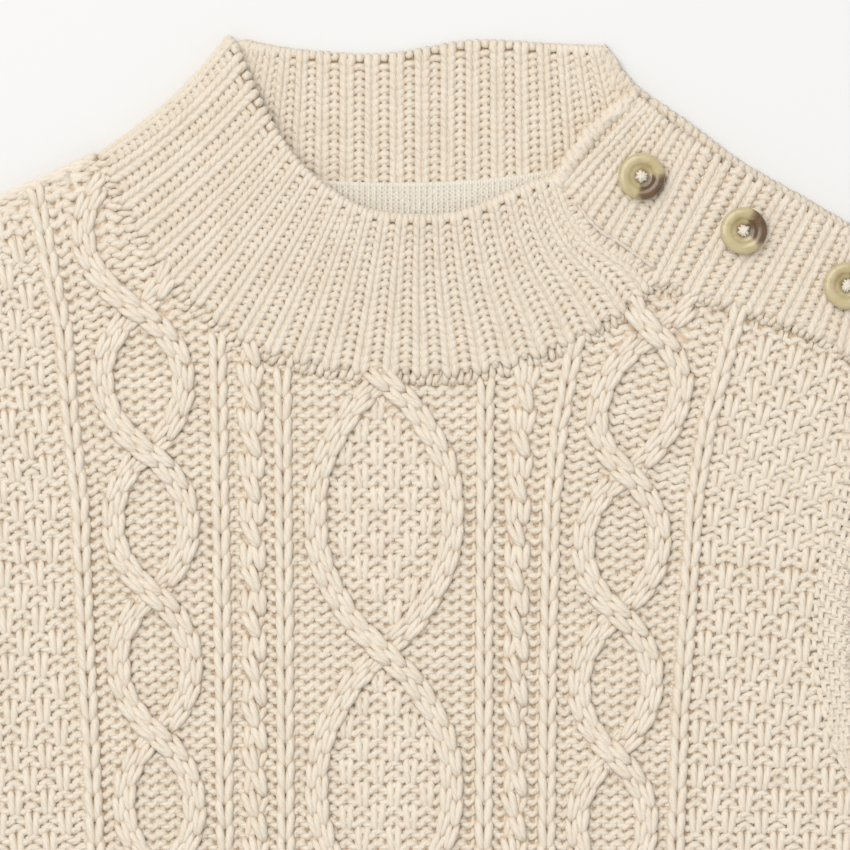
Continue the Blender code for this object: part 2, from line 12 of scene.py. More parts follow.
import bmesh
import bpy
import numpy as np
from mathutils import Vector
from mathutils.bvhtree import BVHTree
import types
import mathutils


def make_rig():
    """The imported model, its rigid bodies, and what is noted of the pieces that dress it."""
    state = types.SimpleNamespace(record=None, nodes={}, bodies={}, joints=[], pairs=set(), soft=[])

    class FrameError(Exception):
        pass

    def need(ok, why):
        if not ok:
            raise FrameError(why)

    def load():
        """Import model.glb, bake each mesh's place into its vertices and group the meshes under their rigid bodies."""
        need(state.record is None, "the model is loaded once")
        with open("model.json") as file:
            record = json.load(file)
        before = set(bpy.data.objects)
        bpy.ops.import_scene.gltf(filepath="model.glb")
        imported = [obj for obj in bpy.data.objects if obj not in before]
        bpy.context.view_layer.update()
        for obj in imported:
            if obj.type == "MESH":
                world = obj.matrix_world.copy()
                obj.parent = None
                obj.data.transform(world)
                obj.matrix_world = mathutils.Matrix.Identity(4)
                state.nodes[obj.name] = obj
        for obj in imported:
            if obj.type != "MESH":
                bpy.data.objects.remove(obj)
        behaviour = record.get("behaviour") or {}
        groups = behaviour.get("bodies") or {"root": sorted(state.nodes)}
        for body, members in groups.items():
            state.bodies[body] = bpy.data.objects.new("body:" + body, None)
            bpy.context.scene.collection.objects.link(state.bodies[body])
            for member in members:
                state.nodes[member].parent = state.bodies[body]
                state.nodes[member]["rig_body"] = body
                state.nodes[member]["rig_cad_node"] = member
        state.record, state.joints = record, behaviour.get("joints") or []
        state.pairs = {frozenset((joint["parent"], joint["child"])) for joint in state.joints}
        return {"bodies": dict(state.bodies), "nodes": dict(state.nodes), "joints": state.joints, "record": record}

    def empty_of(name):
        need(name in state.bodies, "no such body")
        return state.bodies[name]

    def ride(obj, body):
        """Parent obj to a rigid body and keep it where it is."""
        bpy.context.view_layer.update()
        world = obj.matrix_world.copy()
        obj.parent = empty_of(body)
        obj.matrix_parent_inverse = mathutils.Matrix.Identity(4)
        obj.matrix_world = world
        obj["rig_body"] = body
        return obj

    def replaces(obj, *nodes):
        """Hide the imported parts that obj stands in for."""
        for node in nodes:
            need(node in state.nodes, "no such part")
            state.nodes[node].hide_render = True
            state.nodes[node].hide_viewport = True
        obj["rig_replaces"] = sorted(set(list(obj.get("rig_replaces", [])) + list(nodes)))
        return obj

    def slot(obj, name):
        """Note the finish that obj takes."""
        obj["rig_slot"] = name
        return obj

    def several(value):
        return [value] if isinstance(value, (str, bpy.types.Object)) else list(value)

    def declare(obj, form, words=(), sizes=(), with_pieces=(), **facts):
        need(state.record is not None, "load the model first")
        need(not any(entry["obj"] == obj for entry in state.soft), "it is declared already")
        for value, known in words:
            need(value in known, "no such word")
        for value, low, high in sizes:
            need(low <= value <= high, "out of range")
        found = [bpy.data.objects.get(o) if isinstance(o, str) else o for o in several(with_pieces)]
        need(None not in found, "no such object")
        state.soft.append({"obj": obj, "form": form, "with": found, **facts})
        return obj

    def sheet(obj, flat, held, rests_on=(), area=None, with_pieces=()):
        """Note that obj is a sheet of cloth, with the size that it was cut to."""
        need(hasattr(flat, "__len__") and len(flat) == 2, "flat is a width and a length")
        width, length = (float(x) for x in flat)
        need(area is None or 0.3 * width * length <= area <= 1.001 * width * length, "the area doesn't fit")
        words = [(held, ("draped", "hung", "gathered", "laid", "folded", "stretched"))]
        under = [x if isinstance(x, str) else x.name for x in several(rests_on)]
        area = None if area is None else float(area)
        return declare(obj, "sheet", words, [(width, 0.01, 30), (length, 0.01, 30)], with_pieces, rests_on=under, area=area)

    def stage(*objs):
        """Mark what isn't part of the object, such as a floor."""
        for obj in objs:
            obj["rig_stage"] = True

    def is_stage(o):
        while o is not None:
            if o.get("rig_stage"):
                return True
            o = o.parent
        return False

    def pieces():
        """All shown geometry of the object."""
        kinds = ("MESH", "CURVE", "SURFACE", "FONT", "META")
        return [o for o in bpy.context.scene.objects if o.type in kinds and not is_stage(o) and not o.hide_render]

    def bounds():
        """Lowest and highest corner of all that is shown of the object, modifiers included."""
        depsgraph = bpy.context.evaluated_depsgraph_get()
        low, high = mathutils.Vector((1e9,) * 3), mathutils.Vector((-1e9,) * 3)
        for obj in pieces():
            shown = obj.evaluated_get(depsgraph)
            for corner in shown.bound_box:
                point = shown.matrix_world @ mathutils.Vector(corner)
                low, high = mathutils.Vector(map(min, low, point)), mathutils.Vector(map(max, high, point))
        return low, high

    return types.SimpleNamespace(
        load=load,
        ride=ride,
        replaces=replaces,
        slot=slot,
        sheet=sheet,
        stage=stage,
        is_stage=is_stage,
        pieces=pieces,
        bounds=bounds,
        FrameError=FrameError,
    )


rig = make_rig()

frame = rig.load()
cad_box = [list(corner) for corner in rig.bounds()]
MM = 0.001

# ---- front, ground -------------------------------------------------------------------
# The front is knitted from the ribbed hem up, in an ecru cotton yarn of about 2 mm. Its ground is reverse
# stocking stitch: each course is one strand whose loops show their heads and feet as rows of small bumps.
WALE = 4.43
COURSE = 3.07
WALE_START = 3.1  # place of the first wale right of the middle
LEAN_REACH = 12.0  # height over which a wale's lean is taken
YARN_RADIUS = 1.0
SQUARE_FULLER = 1.12  # makes yarn of four sides look as thick as round yarn
SQUARE_LOWER = 0.5  # and as light
HEM_Y = -185.2
HEM_TOP = -145.2
CHEST_HALF = 150.0
SHOULDER_Y = 154.0
OPEN_VIEW_Y = -38.0  # above this the knitting is worked finer
NECK_POINT_X = -76.0  # left of this the ground ends at the shoulder, not under the collar
COURSES = 104
HALF_COURSE = 36  # stitches of a course on each side of the middle
FLOOR_GAP = 0.05
FULLEST = 1.35  # how much thicker the yarn gets where the cloth spreads, at most


def table(kind, rows):
    return [kind(*row) for row in rows]


At = namedtuple("At", "x y")
ARMHOLE = table(At, (  # from the underarm up to the shoulder tip
    (150.0, -54.0), (143.8, -42.0), (137.0, -29.0), (130.2, -16.5), (125.6, -8.0), (121.8, 2.0), (118.4, 20.0),
    (118.6, 35.0), (123.4, 60.0), (128.5, 95.0), (133.5, 129.0),
))
Fan = namedtuple("Fan", "y inner middle outer")  # across, of the three chains on one side, at a height y
LEFT_FAN = table(Fan, (
    (145.0, 27.6, 46.5, 94.0), (124.0, 27.4, 45.8, 90.0), (104.0, 27.3, 44.8, 86.0), (83.0, 27.1, 44.3, 84.5),
    (60.0, 26.9, 43.9, 81.8), (22.0, 26.5, 43.3, 80.3), (-34.0, 26.2, 42.6, 77.5), (-190.0, 26.2, 42.6, 77.5),
))
RIGHT_FAN = table(Fan, (
    (145.0, 28.5, 60.0, 108.0), (124.0, 28.2, 56.5, 100.0), (105.0, 27.9, 52.4, 94.2), (80.0, 27.6, 47.6, 87.6),
    (60.0, 27.5, 45.6, 84.2), (29.0, 27.4, 44.8, 82.2), (1.0, 27.3, 44.5, 80.2), (-34.0, 27.2, 44.2, 79.0),
    (-190.0, 27.2, 44.2, 79.0),
))
INNER, MIDDLE, OUTER = 27.3, 45.0, 82.0  # the chains' places on the pattern
ROPE_AT = 36.0

uneven = random.Random(11)
surfaces = {}


def placed(name, data):
    """A new object with this data, in the scene."""
    made = bpy.data.objects.new(name, data)
    bpy.context.scene.collection.objects.link(made)
    return made


def surface(node, x, y):
    """The height of a CAD node's upper face at x, y, or None beside it."""
    if node not in surfaces:
        depsgraph = bpy.context.evaluated_depsgraph_get()
        surfaces[node] = BVHTree.FromObject(frame["nodes"][node], depsgraph)
    hit = surfaces[node].ray_cast((x * MM, y * MM, 1.0), (0, 0, -1))[0]
    return None if hit is None else hit.z / MM


def fan_at(side, y):
    """The places of the three chains on one side at height y."""
    fan = LEFT_FAN if side < 0 else RIGHT_FAN
    heights = [row.y for row in reversed(fan)]
    return [np.interp(y, heights, [getattr(row, name) for row in reversed(fan)]) for name in Fan._fields[1:]]


def wale_x(u, y):
    """Where the wale at place u on the pattern lies across the garment at height y."""
    inner, middle, outer = fan_at(u, y)
    if abs(u) > OUTER:
        return math.copysign(outer + abs(u) - OUTER, u)
    return math.copysign(np.interp(abs(u), [0.0, INNER, MIDDLE, OUTER], [0.0, inner, middle, outer]), u)


def course_points(y0):
    """Place, x and y of each stitch of the course that crosses the middle at y0, square to the wales."""
    found = {}
    for side, first in ((-1, -1), (1, 0)):
        y = y0
        for k in range(HALF_COURSE):
            u = (first + side * k) * WALE + WALE_START
            lean = (wale_x(u, y + LEAN_REACH) - wale_x(u, y - LEAN_REACH)) / 2 / LEAN_REACH
            y -= side * lean * WALE * (0.5 if k == 0 else 1.0)  # the first is half a wale from the middle
            found[u] = (wale_x(u, y), y)
    return [(u, *found[u]) for u in sorted(found)]


def shown(made, node, slot):
    """Makes a finished piece ride on the garment in place of a CAD node."""
    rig.ride(made, "root")
    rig.replaces(made, node)
    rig.slot(made, slot)
    return made


def yarn_piece(name, strands, sides, yarn, node, slot="knit"):
    """Strands of yarn, rows of (x, y, z, radius, top), as one mesh: top is the cloth's own height there.

    Its map runs in mm along a strand and in turns round it, and its depth says how far each point lies down, which the
    material turns into painted shade.
    """
    curve = bpy.data.curves.new(name, "CURVE")
    curve.dimensions = "3D"
    curve.bevel_depth = MM
    curve.bevel_resolution = (sides - 4) // 2
    curve.use_fill_caps = True
    strands = [np.array(strand) for strand in strands]
    for points in strands:
        if sides == 4:
            points[:, 3] *= SQUARE_FULLER
            points[:, 4] -= SQUARE_LOWER
        points[:, 2] = np.maximum(points[:, 2], points[:, 3] + FLOOR_GAP)  # it lies on the floor
        spline = curve.splines.new("POLY")
        spline.points.add(len(points) - 1)
        places = np.column_stack([points[:, :3] * MM, np.ones(len(points))])
        spline.points.foreach_set("co", places.ravel())
        spline.points.foreach_set("radius", points[:, 3].copy())
    line = placed(name, curve)
    depsgraph = bpy.context.evaluated_depsgraph_get()
    mesh = bpy.data.meshes.new_from_object(line.evaluated_get(depsgraph))
    bpy.data.objects.remove(line)

    lengths = [np.linalg.norm(np.diff(points[:, :3], axis=0), axis=1).sum() for points in strands]
    corners = [4 * sides * (len(points) - 1) for points in strands]
    ends = len(mesh.loops) - sum(corners)
    layer = mesh.uv_layers[0].data
    at = np.zeros(2 * len(mesh.loops), dtype=np.float32)
    layer.foreach_get("uv", at)
    at[2 * ends :: 2] *= np.repeat(lengths, corners)
    at[2 * ends :: 2] += np.repeat([uneven.uniform(0, 50) for _ in strands], corners)  # no two alike
    layer.foreach_set("uv", at)

    tops = np.repeat(np.concatenate([points[:, 4] for points in strands]), sides)
    places = np.zeros(3 * len(mesh.vertices), dtype=np.float32)
    mesh.vertices.foreach_get("co", places)
    depth = np.ones(len(mesh.vertices), dtype=np.float32)
    depth[-len(tops) :] = (tops - places[2::3][-len(tops) :] / MM) / DEPTH_SCALE
    mesh.attributes.new("depth", "FLOAT", "POINT").data.foreach_set("value", depth)

    bm = bmesh.new()
    bm.from_mesh(mesh)
    bmesh.ops.remove_doubles(bm, verts=bm.verts, dist=1e-7)
    bm.to_mesh(mesh)
    bm.free()
    mesh.shade_smooth()
    mesh.materials.clear()
    mesh.materials.append(yarn)
    return shown(placed(name, mesh), node, slot)


class Finish:
    """A material, and short ways to add nodes whose inputs are values or other nodes' sockets."""

    def __init__(self, name, inputs):
        self.material = bpy.data.materials.new(name)
        self.material.use_nodes = True
        self.tree = self.material.node_tree
        self.shader = self.fill(self.tree.nodes["Principled BSDF"], inputs)

    def fill(self, node, inputs):
        for key, value in inputs.items():
            if isinstance(value, bpy.types.NodeSocket):
                self.tree.links.new(value, node.inputs[key])
            else:
                node.inputs[key].default_value = value
        return node

    def add(self, kind, inputs=None, **settings):
        node = self.tree.nodes.new("ShaderNode" + kind)
        for name, value in settings.items():
            setattr(node, name, value)
        return self.fill(node, inputs or {})

    def maths(self, operation, *values):
        return self.add("Math", dict(enumerate(values)), operation=operation).outputs[0]

    def place(self):
        return self.add("TexCoord").outputs["Object"]

    def split(self, vector):
        """The x and y of a vector."""
        return self.add("SeparateXYZ", {0: vector}).outputs[:2]

    def noise(self, vector, scale, detail=2.0, **others):
        return self.add("TexNoise", {"Vector": vector, "Scale": scale, "Detail": detail, **others}).outputs["Fac"]

    def ramp(self, value, low, low_colour, high, high_colour):
        node = self.add("ValToRGB", {0: value})
        for end, at, colour in zip(node.color_ramp.elements, (low, high), (low_colour, high_colour)):
            end.position, end.color = at, (*colour, 1)
        return node.outputs[0]

    def smooth(self, value, low, high, start=0.0, end=1.0):
        """Goes smoothly from start to end as a value rises from low to high."""
        ends = {"Value": value, "From Min": low, "From Max": high, "To Min": start, "To Max": end}
        return self.add("MapRange", ends, interpolation_type="SMOOTHSTEP").outputs[0]

    def mix(self, share, first, second):
        return self.add("Mix", {"Factor": share, 6: first, 7: second}, data_type="RGBA").outputs[2]

    def finished(self, colour, height=None, strength=1.0, distance=MM):
        """The material in a colour, raised by a bump of a strength and a distance in metres."""
        self.fill(self.shader, {"Base Color": colour})
        if height is not None:
            bump = self.add("Bump", {"Height": height, "Strength": strength, "Distance": distance})
            self.fill(self.shader, {"Normal": bump.outputs[0]})
        return self.material


PLIES = 3.0
FIBRES = 4.0  # how finely the fibres divide the yarn's girth
FIBRE_LONG = 0.35  # and its length
YARN_SURFACE = {
    "Roughness": 0.85,
    "Specular IOR Level": 0.2,
    "Sheen Weight": 0.55,
    "Sheen Tint": (1.0, 0.9, 0.76, 1),
    "Sheen Roughness": 0.5,
}


def yarn_material(name, colour, shade, painted_shade, lay=9.0, bumps=1.0):
    """Plied cotton: plies that wind round the strand, fine fibres along them, and painted shade that grows darker and
    warmer the deeper it lies.
    """
    made = Finish(name, YARN_SURFACE)
    maths = made.maths
    far, turn = made.split(made.add("UVMap", uv_map="UVMap").outputs["UV"])
    around = maths("MULTIPLY", maths("ADD", maths("DIVIDE", far, lay), turn), 2 * math.pi)
    ply = maths("ABSOLUTE", maths("SINE", maths("MULTIPLY", around, PLIES / 2)))
    grain = {
        0: maths("MULTIPLY", maths("SINE", around), FIBRES),
        1: maths("MULTIPLY", maths("COSINE", around), FIBRES),
        2: maths("MULTIPLY", far, FIBRE_LONG),
    }
    fibre = made.noise(made.add("CombineXYZ", grain).outputs[0], 1.0, 3.0, Roughness=0.6)
    height = maths("ADD", maths("MULTIPLY", ply, 0.7), maths("MULTIPLY", fibre, 0.6))
    cloudy = made.noise(made.place(), 160.0)
    tone = maths("ADD", maths("MULTIPLY", fibre, 0.7), maths("MULTIPLY", cloudy, 0.5))
    # painted shade: yarn that lies deep below the cloth's height turns towards the deep colour
    sunk = made.smooth(made.add("Attribute", attribute_name="depth").outputs["Fac"], 0.32, 1.05)
    colour_with_painted_shade = made.mix(sunk, made.ramp(tone, 0.35, shade, 0.72, colour), (*painted_shade, 1))
    return made.finished(colour_with_painted_shade, height, 0.55 * bumps, 0.45 * MM)


DEPTH_SCALE = 2.6  # mm below the cloth's height at which a point's depth is 1
ECRU = (0.797, 0.717, 0.598)
ECRU_SHADE = (0.71, 0.612, 0.488)
# the deep colour is painted shade, for yarn that lies down between the stitches
ECRU_PAINTED_SHADE = (0.68, 0.495, 0.335)
ecru_yarn = yarn_material("ecru_yarn", ECRU, ECRU_SHADE, ECRU_PAINTED_SHADE)
PLAIN_LIGHTER = 1.055  # for the plainly worked parts, which catch less light
PLAIN_ECRU, PLAIN_SHADE = ([PLAIN_LIGHTER * c for c in colour] for colour in (ECRU, ECRU_SHADE))
plain_yarn = yarn_material("plain_yarn", PLAIN_ECRU, PLAIN_SHADE, ECRU_PAINTED_SHADE)

GROUND_Z = 3.7  # middle of the yarn of the ground
GROUND_TOP = 5.1  # and the height of its highest yarn
LOOP_HIGH = 1.25  # half the height of a loop, in courses

LoopPoint = namedtuple("LoopPoint", "across up front thick")  # in wales, half heights, mm and radii
LOOP = table(LoopPoint, (  # up over the head, down and along the foot
    (-0.2, 0.0, -0.7, 0.74), (-0.34, 0.87, 0.14, 0.98), (0.0, 1.0, 0.5, 1.12), (0.34, 0.87, 0.14, 0.98),
    (0.2, 0.0, -0.7, 0.74), (0.16, -0.85, 0.14, 0.98), (0.5, -0.98, 0.46, 1.1), (0.84, -0.85, 0.14, 0.98),
))
HEAD_BEHIND = LoopPoint(0.0, 0.8, -0.55, 1.25)  # a head that lies behind a raised stitch
BARE_LOOP = [LOOP[0], HEAD_BEHIND, *LOOP[4:]]
PLAIN_LOOP = table(LoopPoint, (  # out of the open view
    (-0.2, 0.0, -0.45, 0.96), (-0.28, 0.96, 0.3, 1.14), (0.28, 0.96, 0.3, 1.14), (0.2, 0.0, -0.45, 0.96),
    (0.5, -0.96, 0.4, 1.36),
))
BARE_PLAIN_LOOP = [PLAIN_LOOP[0], HEAD_BEHIND, *PLAIN_LOOP[3:]]


def loop_points(x, y, z, across, up, top, loop=LOOP):
    """One loop of a course at x, y: across is its width and up a course, each as a vector."""
    points = []
    high = LOOP_HIGH * uneven.uniform(0.95, 1.05)
    cell = math.hypot(*across) / WALE * math.hypot(*up) / COURSE
    fuller = min(FULLEST, max(1.0, cell**0.7))
    for point in loop:
        step = point.across + uneven.uniform(-0.015, 0.015)
        rise = high * point.up
        place = (x + across[0] * step + up[0] * rise, y + across[1] * step + up[1] * rise)
        front = z + point.front + uneven.uniform(-0.06, 0.06)
        thick = YARN_RADIUS * fuller * point.thick * uneven.uniform(0.95, 1.05)
        points.append((*place, front, thick, top))
    return points


def course_strand(stitches, z_at, loops):
    """One strand of loops through the stitches of a course, rows of x, y and height from left to right."""
    strand = []
    last = len(stitches) - 1
    for k, ((x, y, tall), loop) in enumerate(zip(stitches, loops)):
        before, after = stitches[max(0, k - 1)], stitches[min(last, k + 1)]
        apart = min(last, k + 1) - max(0, k - 1)
        across = ((after[0] - before[0]) / apart, (after[1] - before[1]) / apart)
        long = math.hypot(*across)
        up = (-across[1] / long * tall, across[0] / long * tall)
        z = z_at(x, y)
        strand += loop_points(x, y, z, across, up, z + GROUND_TOP - GROUND_Z, loop)
    return strand


def runs(stitches, inside):
    """The runs of neighbouring stitches of a course that lie inside."""
    return [list(run) for kept, run in groupby(stitches, inside) if kept]


UNDER_COLLAR = 2.6  # how far the ground reaches in below the collar and the button band
SIDE_EDGE = 1.3  # how far inside the side seam the last wale runs
ARMHOLE_DIP, ARMHOLE_NEAR = 0.6, 4.0  # the ground dips this much, within so far of an armhole


def on_ground(x, y):
    """Whether the ground has a stitch at x, y: on the front, or just under the collar's edge."""
    if y < HEM_TOP - 2:
        return False
    if y < ARMHOLE[0].y:
        return surface("front", x + math.copysign(SIDE_EDGE, x), y) is not None
    steps = [(0, 0.6)] if x < NECK_POINT_X else [(0, 0), (0, -UNDER_COLLAR), (-1.8, -1.8), (1.8, -1.8)]
    return any(surface("front", x + dx, y + dy) is not None for dx, dy in steps)


def ground_z(x, y):
    """The ground's yarn dips to the seams at the armholes."""
    hole = np.interp(y, [row.y for row in ARMHOLE], [row.x for row in ARMHOLE])
    dip = ARMHOLE_DIP * max(0.0, 1 - (hole - abs(x)) / ARMHOLE_NEAR) if y > ARMHOLE[0].y else 0.0
    return GROUND_Z - dip


LEFT_SHOULDER = [At(-133.5, 129.0), At(-105.0, 141.5), At(-77.5, 154.0)]
SHOULDER_EDGE = 2.0  # how far inside the shoulder's seam the stitches end
MOSS_EDGE = 3.6  # clear of a chain or a cable
STRAIGHT_COURSES = 66  # above these the wales spread


def inside_shoulder(strands):
    """Keeps the points of strands, rows of x, y and more, below the left shoulder's seam."""
    for strand in strands:
        for n, (x, y, *rest) in enumerate(strand):
            if x < LEFT_SHOULDER[-1].x:
                seam = np.interp(x, [row.x for row in LEFT_SHOULDER], [row.y for row in LEFT_SHOULDER])
                strand[n] = (x, min(y, seam - SHOULDER_EDGE), *rest)
    return strands


def knit_cell(n, u):
    """Whether the moss stitch has a knit cell in course n, and the one paired with it, at place u."""
    return (round((u - WALE_START) / WALE) + n // 2) % 2 == 0


def head_is_behind(n, u):
    """Whether the head of a loop of course n, which reaches the next course, lies behind a raised stitch."""
    if abs(u) > OUTER + MOSS_EDGE:
        return knit_cell(n + 1, u)
    return n < STRAIGHT_COURSES and min(abs(abs(u) - at) for at in (INNER, MIDDLE, OUTER, ROPE_AT)) < WALE / 2


courses = [course_points(HEM_TOP + COURSE * (n + 0.5)) for n in range(COURSES)]
fine_ground, plain_ground = [], []
for n, (course, above) in enumerate(zip(courses, courses[1:])):
    stitches = [(u, x, y, math.dist((x, y), high)) for (u, x, y), (_, *high) in zip(course, above)]
    for run in runs(stitches, lambda s: on_ground(s[1], s[2])):
        if len(run) < 2:
            continue
        fine = run[0][2] > OPEN_VIEW_Y
        whole, bare = (LOOP, BARE_LOOP) if fine else (PLAIN_LOOP, BARE_PLAIN_LOOP)
        loops = [bare if head_is_behind(n, u) else whole for u, *_ in run]
        strand = course_strand([stitch[1:] for stitch in run], ground_z, loops)
        (fine_ground if fine else plain_ground).append(strand)
share = round(0.44 * len(fine_ground))  # the chest's part of it, as a piece of its own
front_layers = []


def front_piece(name, strands, sides=6, yarn=ecru_yarn):
    front_layers.append(yarn_piece(name, strands, sides, yarn, "front"))


front_piece("front_ground_top", inside_shoulder(fine_ground[share:]))
front_piece("front_ground_chest", fine_ground[:share])
front_piece("front_ground_waist", plain_ground, 4, plain_yarn)

# ---- front, chains, cables and ropes -------------------------------------------------
# Raised knit stitches worked into the ground: six chains, two ropes, a row of diamonds down the middle and
# a row of ovals on each side. A strand of a cable is two wales wide, and where two cross, the one that
# slants up to the left lies on top.
KnitLeg = namedtuple("KnitLeg", "out up rise thick")  # one leg of a stitch, from its sunk tip to its head
CHAIN_LEG = table(KnitLeg, (
    (0.5, -4.3, -0.4, 0.8), (0.84, -2.5, 0.12, 1.1), (1.12, -0.2, 0.3, 1.2), (1.44, 2.1, 0.2, 1.18),
    (1.55, 4.4, -0.6, 1.0),
))
CHAIN_STITCH = 6.65
CHAIN_Z = 5.0
CABLE_LEG = table(KnitLeg, (
    (0.2, -4.0, -0.45, 0.66), (0.44, -2.3, 0.12, 0.92), (0.68, -0.2, 0.3, 1.04), (0.9, 1.9, 0.14, 0.98),
    (0.98, 3.9, -0.6, 0.8),
))
CABLE_STITCH = 6.6
CABLE_WALES = 1.38  # half the way between the two wales of a strand
CABLE_Z = 5.6
OVER, UNDER = 0.9, -0.9  # rise of the strand on top at a crossing, and of the one below it
CROSS_REACH = 4.6  # how far from a crossing they rise and sink
STATION_STEP = 0.1
LEAN_OVER = 1.5

Cable = namedtuple("Cable", "at swing pitch crossing")  # place, half spread, length and one crossing's y
DIAMOND = Cable(0.0, 18.6, 73.8, 93.0)
LEFT_OVAL = Cable(-63.5, 9.9, 38.2, 73.2)
RIGHT_OVAL = Cable(63.5, 9.9, 37.9, 67.4)
SPREAD_TURNS = (0.0, 0.1, 0.2, 0.3, 0.4, 0.5)
SPREAD_SHARES = (0.0, 0.42, 0.68, 0.88, 0.98, 1.0)

Place = namedtuple("Place", "at across up out")  # a point on the cloth and its three directions


def level_place(x, y, z, lean):
    """A place on level cloth where the wales lean to the right by an angle."""
    across = np.array([math.cos(lean), -math.sin(lean), 0.0])
    up = np.array([math.sin(lean), math.cos(lean), 0.0])
    return Place(np.array([x, y, z]), across, up, np.array([0.0, 0.0, 1.0]))


def knit_legs(place, legs, top=1.3, wide=1.0, long=1.0, thick=1.0, turned=0.025):
    """Both legs of a knit stitch at a place on the cloth, whose highest yarn lies top above it."""
    turn = uneven.gauss(0, turned)
    across = place.across * math.cos(turn) - place.up * math.sin(turn)
    up = place.up * math.cos(turn) + place.across * math.sin(turn)
    long *= uneven.uniform(0.96, 1.04)
    strands = []
    for side in (-1, 1):
        plump = thick * uneven.uniform(0.94, 1.06)
        lift = uneven.uniform(-0.08, 0.08)
        strand = []
        for leg in legs:
            spot = place.at + across * (side * leg.out * wide) + up * (leg.up * long) + place.out * (leg.rise + lift)
            strand.append((*spot, leg.thick * plump, place.at[2] + top))
        strands.append(strand)
    return strands


def spread(cable, y):
    """How far each strand of a cable lies from its middle at height y."""
    turn = abs((y - cable.crossing) / cable.pitch) % 1.0
    return cable.swing * float(np.interp(min(turn, 1 - turn), SPREAD_TURNS, SPREAD_SHARES))


def stations(path, low, high, every, first=0.0):
    """x, y and lean of points every so far along a path, which gives x at a height y."""
    found = []
    y, gone = low, -first
    while y < high:
        if gone >= every * len(found):
            found.append((path(y), y, math.atan2(path(y + LEAN_OVER) - path(y - LEAN_OVER), 2 * LEAN_OVER)))
        gone += math.hypot(STATION_STEP, path(y + STATION_STEP) - path(y))
        y += STATION_STEP
    return found


def on_front(x, y, margin=1.0):
    return surface("front", x, y + margin) is not None


strands = []
for u in (-OUTER, -MIDDLE, -INNER, INNER, MIDDLE, OUTER):
    for x, y, lean in stations(lambda y: wale_x(u, y), HEM_TOP + 1, SHOULDER_Y, CHAIN_STITCH, uneven.uniform(0, 6)):
        if on_front(x, y):
            strands += knit_legs(level_place(x, y, CHAIN_Z, lean), CHAIN_LEG, 1.4)
front_piece("front_chains", inside_shoulder(strands))

for name, cable in (("front_diamonds", DIAMOND), ("front_ovals_right", LEFT_OVAL), ("front_ovals_left", RIGHT_OVAL)):
    strands = []
    for first_side in (-1, 1):

        def side_at(y):
            return first_side * (-1) ** math.floor((y - cable.crossing) / cable.pitch)

        def strand_x(y):
            return wale_x(cable.at + side_at(y) * spread(cable, y), y)

        for wale in (-CABLE_WALES, CABLE_WALES):
            start = CABLE_STITCH / 2 if wale > 0 else 0.0
            for x, y, lean in stations(strand_x, HEM_TOP + 1, SHOULDER_Y, CABLE_STITCH, start):
                if not on_front(x, y):
                    continue
                turn = (y - cable.crossing) / cable.pitch
                from_crossing = abs(turn - round(turn)) * cable.pitch
                near = math.exp(-((from_crossing / CROSS_REACH) ** 2))
                z = CABLE_Z + near * (OVER if lean < 0 else UNDER)
                place = level_place(x + wale * math.cos(lean), y - wale * math.sin(lean), z, lean)
                strands += knit_legs(place, CABLE_LEG, 1.2)
    front_piece(name, inside_shoulder(strands))

ROPE_HALF_TURN = 12.7
ROPE_SWING = 1.65
ROPE_Z = 5.0
ROPE_DEEP = 0.75
ROPE_TOP = 1.7
strands = []
for side in (-1, 1):
    for start in (0.0, math.pi):

        def rope_x(y):
            angle = math.pi * y / ROPE_HALF_TURN + start
            return wale_x(side * ROPE_AT, y) - ROPE_SWING * math.sin(angle)

        for x, y, lean in stations(rope_x, HEM_TOP + 1, SHOULDER_Y, ROPE_HALF_TURN / 2):
            if on_front(x, y):
                z = ROPE_Z + ROPE_DEEP * math.cos(math.pi * y / ROPE_HALF_TURN + start)
                place = level_place(x, y, z, lean)
                strands += knit_legs(place, CABLE_LEG, ROPE_Z + ROPE_TOP - z, wide=1.15, thick=1.08)
front_piece("front_ropes", strands)

# ---- front, moss stitch --------------------------------------------------------------
# The sides and the insides of the diamonds are a chequer of one stitch by two courses: knit cells, whose
# two upright legs stand out, between cells of the ground.
MOSS_LEG = table(KnitLeg, (
    (0.52, -4.1, -0.5, 0.78), (0.78, -2.4, 0.1, 1.02), (0.97, -0.1, 0.24, 1.13), (1.15, 2.2, 0.1, 1.09),
    (1.24, 4.0, -0.6, 0.88),
))
PLAIN_MOSS_LEG = [MOSS_LEG[0], MOSS_LEG[1], MOSS_LEG[3], MOSS_LEG[4]]
MOSS_Z = 4.2
DIAMOND_EDGE = MOSS_EDGE + 1.5
moss_fine, moss_plain = [], []
for n in range(0, len(courses) - 1, 2):
    for (u, x, y), (_, x_above, y_above) in zip(courses[n], courses[n + 1]):
        if not knit_cell(n, u) or y < HEM_TOP + COURSE:
            continue
        cx, cy = (x + x_above) / 2, (y + y_above) / 2
        in_diamond = abs(u) < spread(DIAMOND, cy) - DIAMOND_EDGE
        if not (in_diamond or abs(u) > OUTER + MOSS_EDGE) or not on_front(cx, cy, 3.0):
            continue
        z = MOSS_Z + ground_z(cx, cy) - GROUND_Z
        place = level_place(cx, cy, z, math.atan2(x_above - x, y_above - y))
        tall = math.dist((x, y), (x_above, y_above)) / COURSE
        if cy > OPEN_VIEW_Y:
            moss_fine += knit_legs(place, MOSS_LEG, 1.2, long=tall * uneven.uniform(0.94, 1.04), turned=0.05)
        else:
            moss_plain += knit_legs(place, PLAIN_MOSS_LEG, 1.2, thick=1.12)
front_piece("front_moss_top", moss_fine)
front_piece("front_moss_waist", moss_plain, 4, plain_yarn)

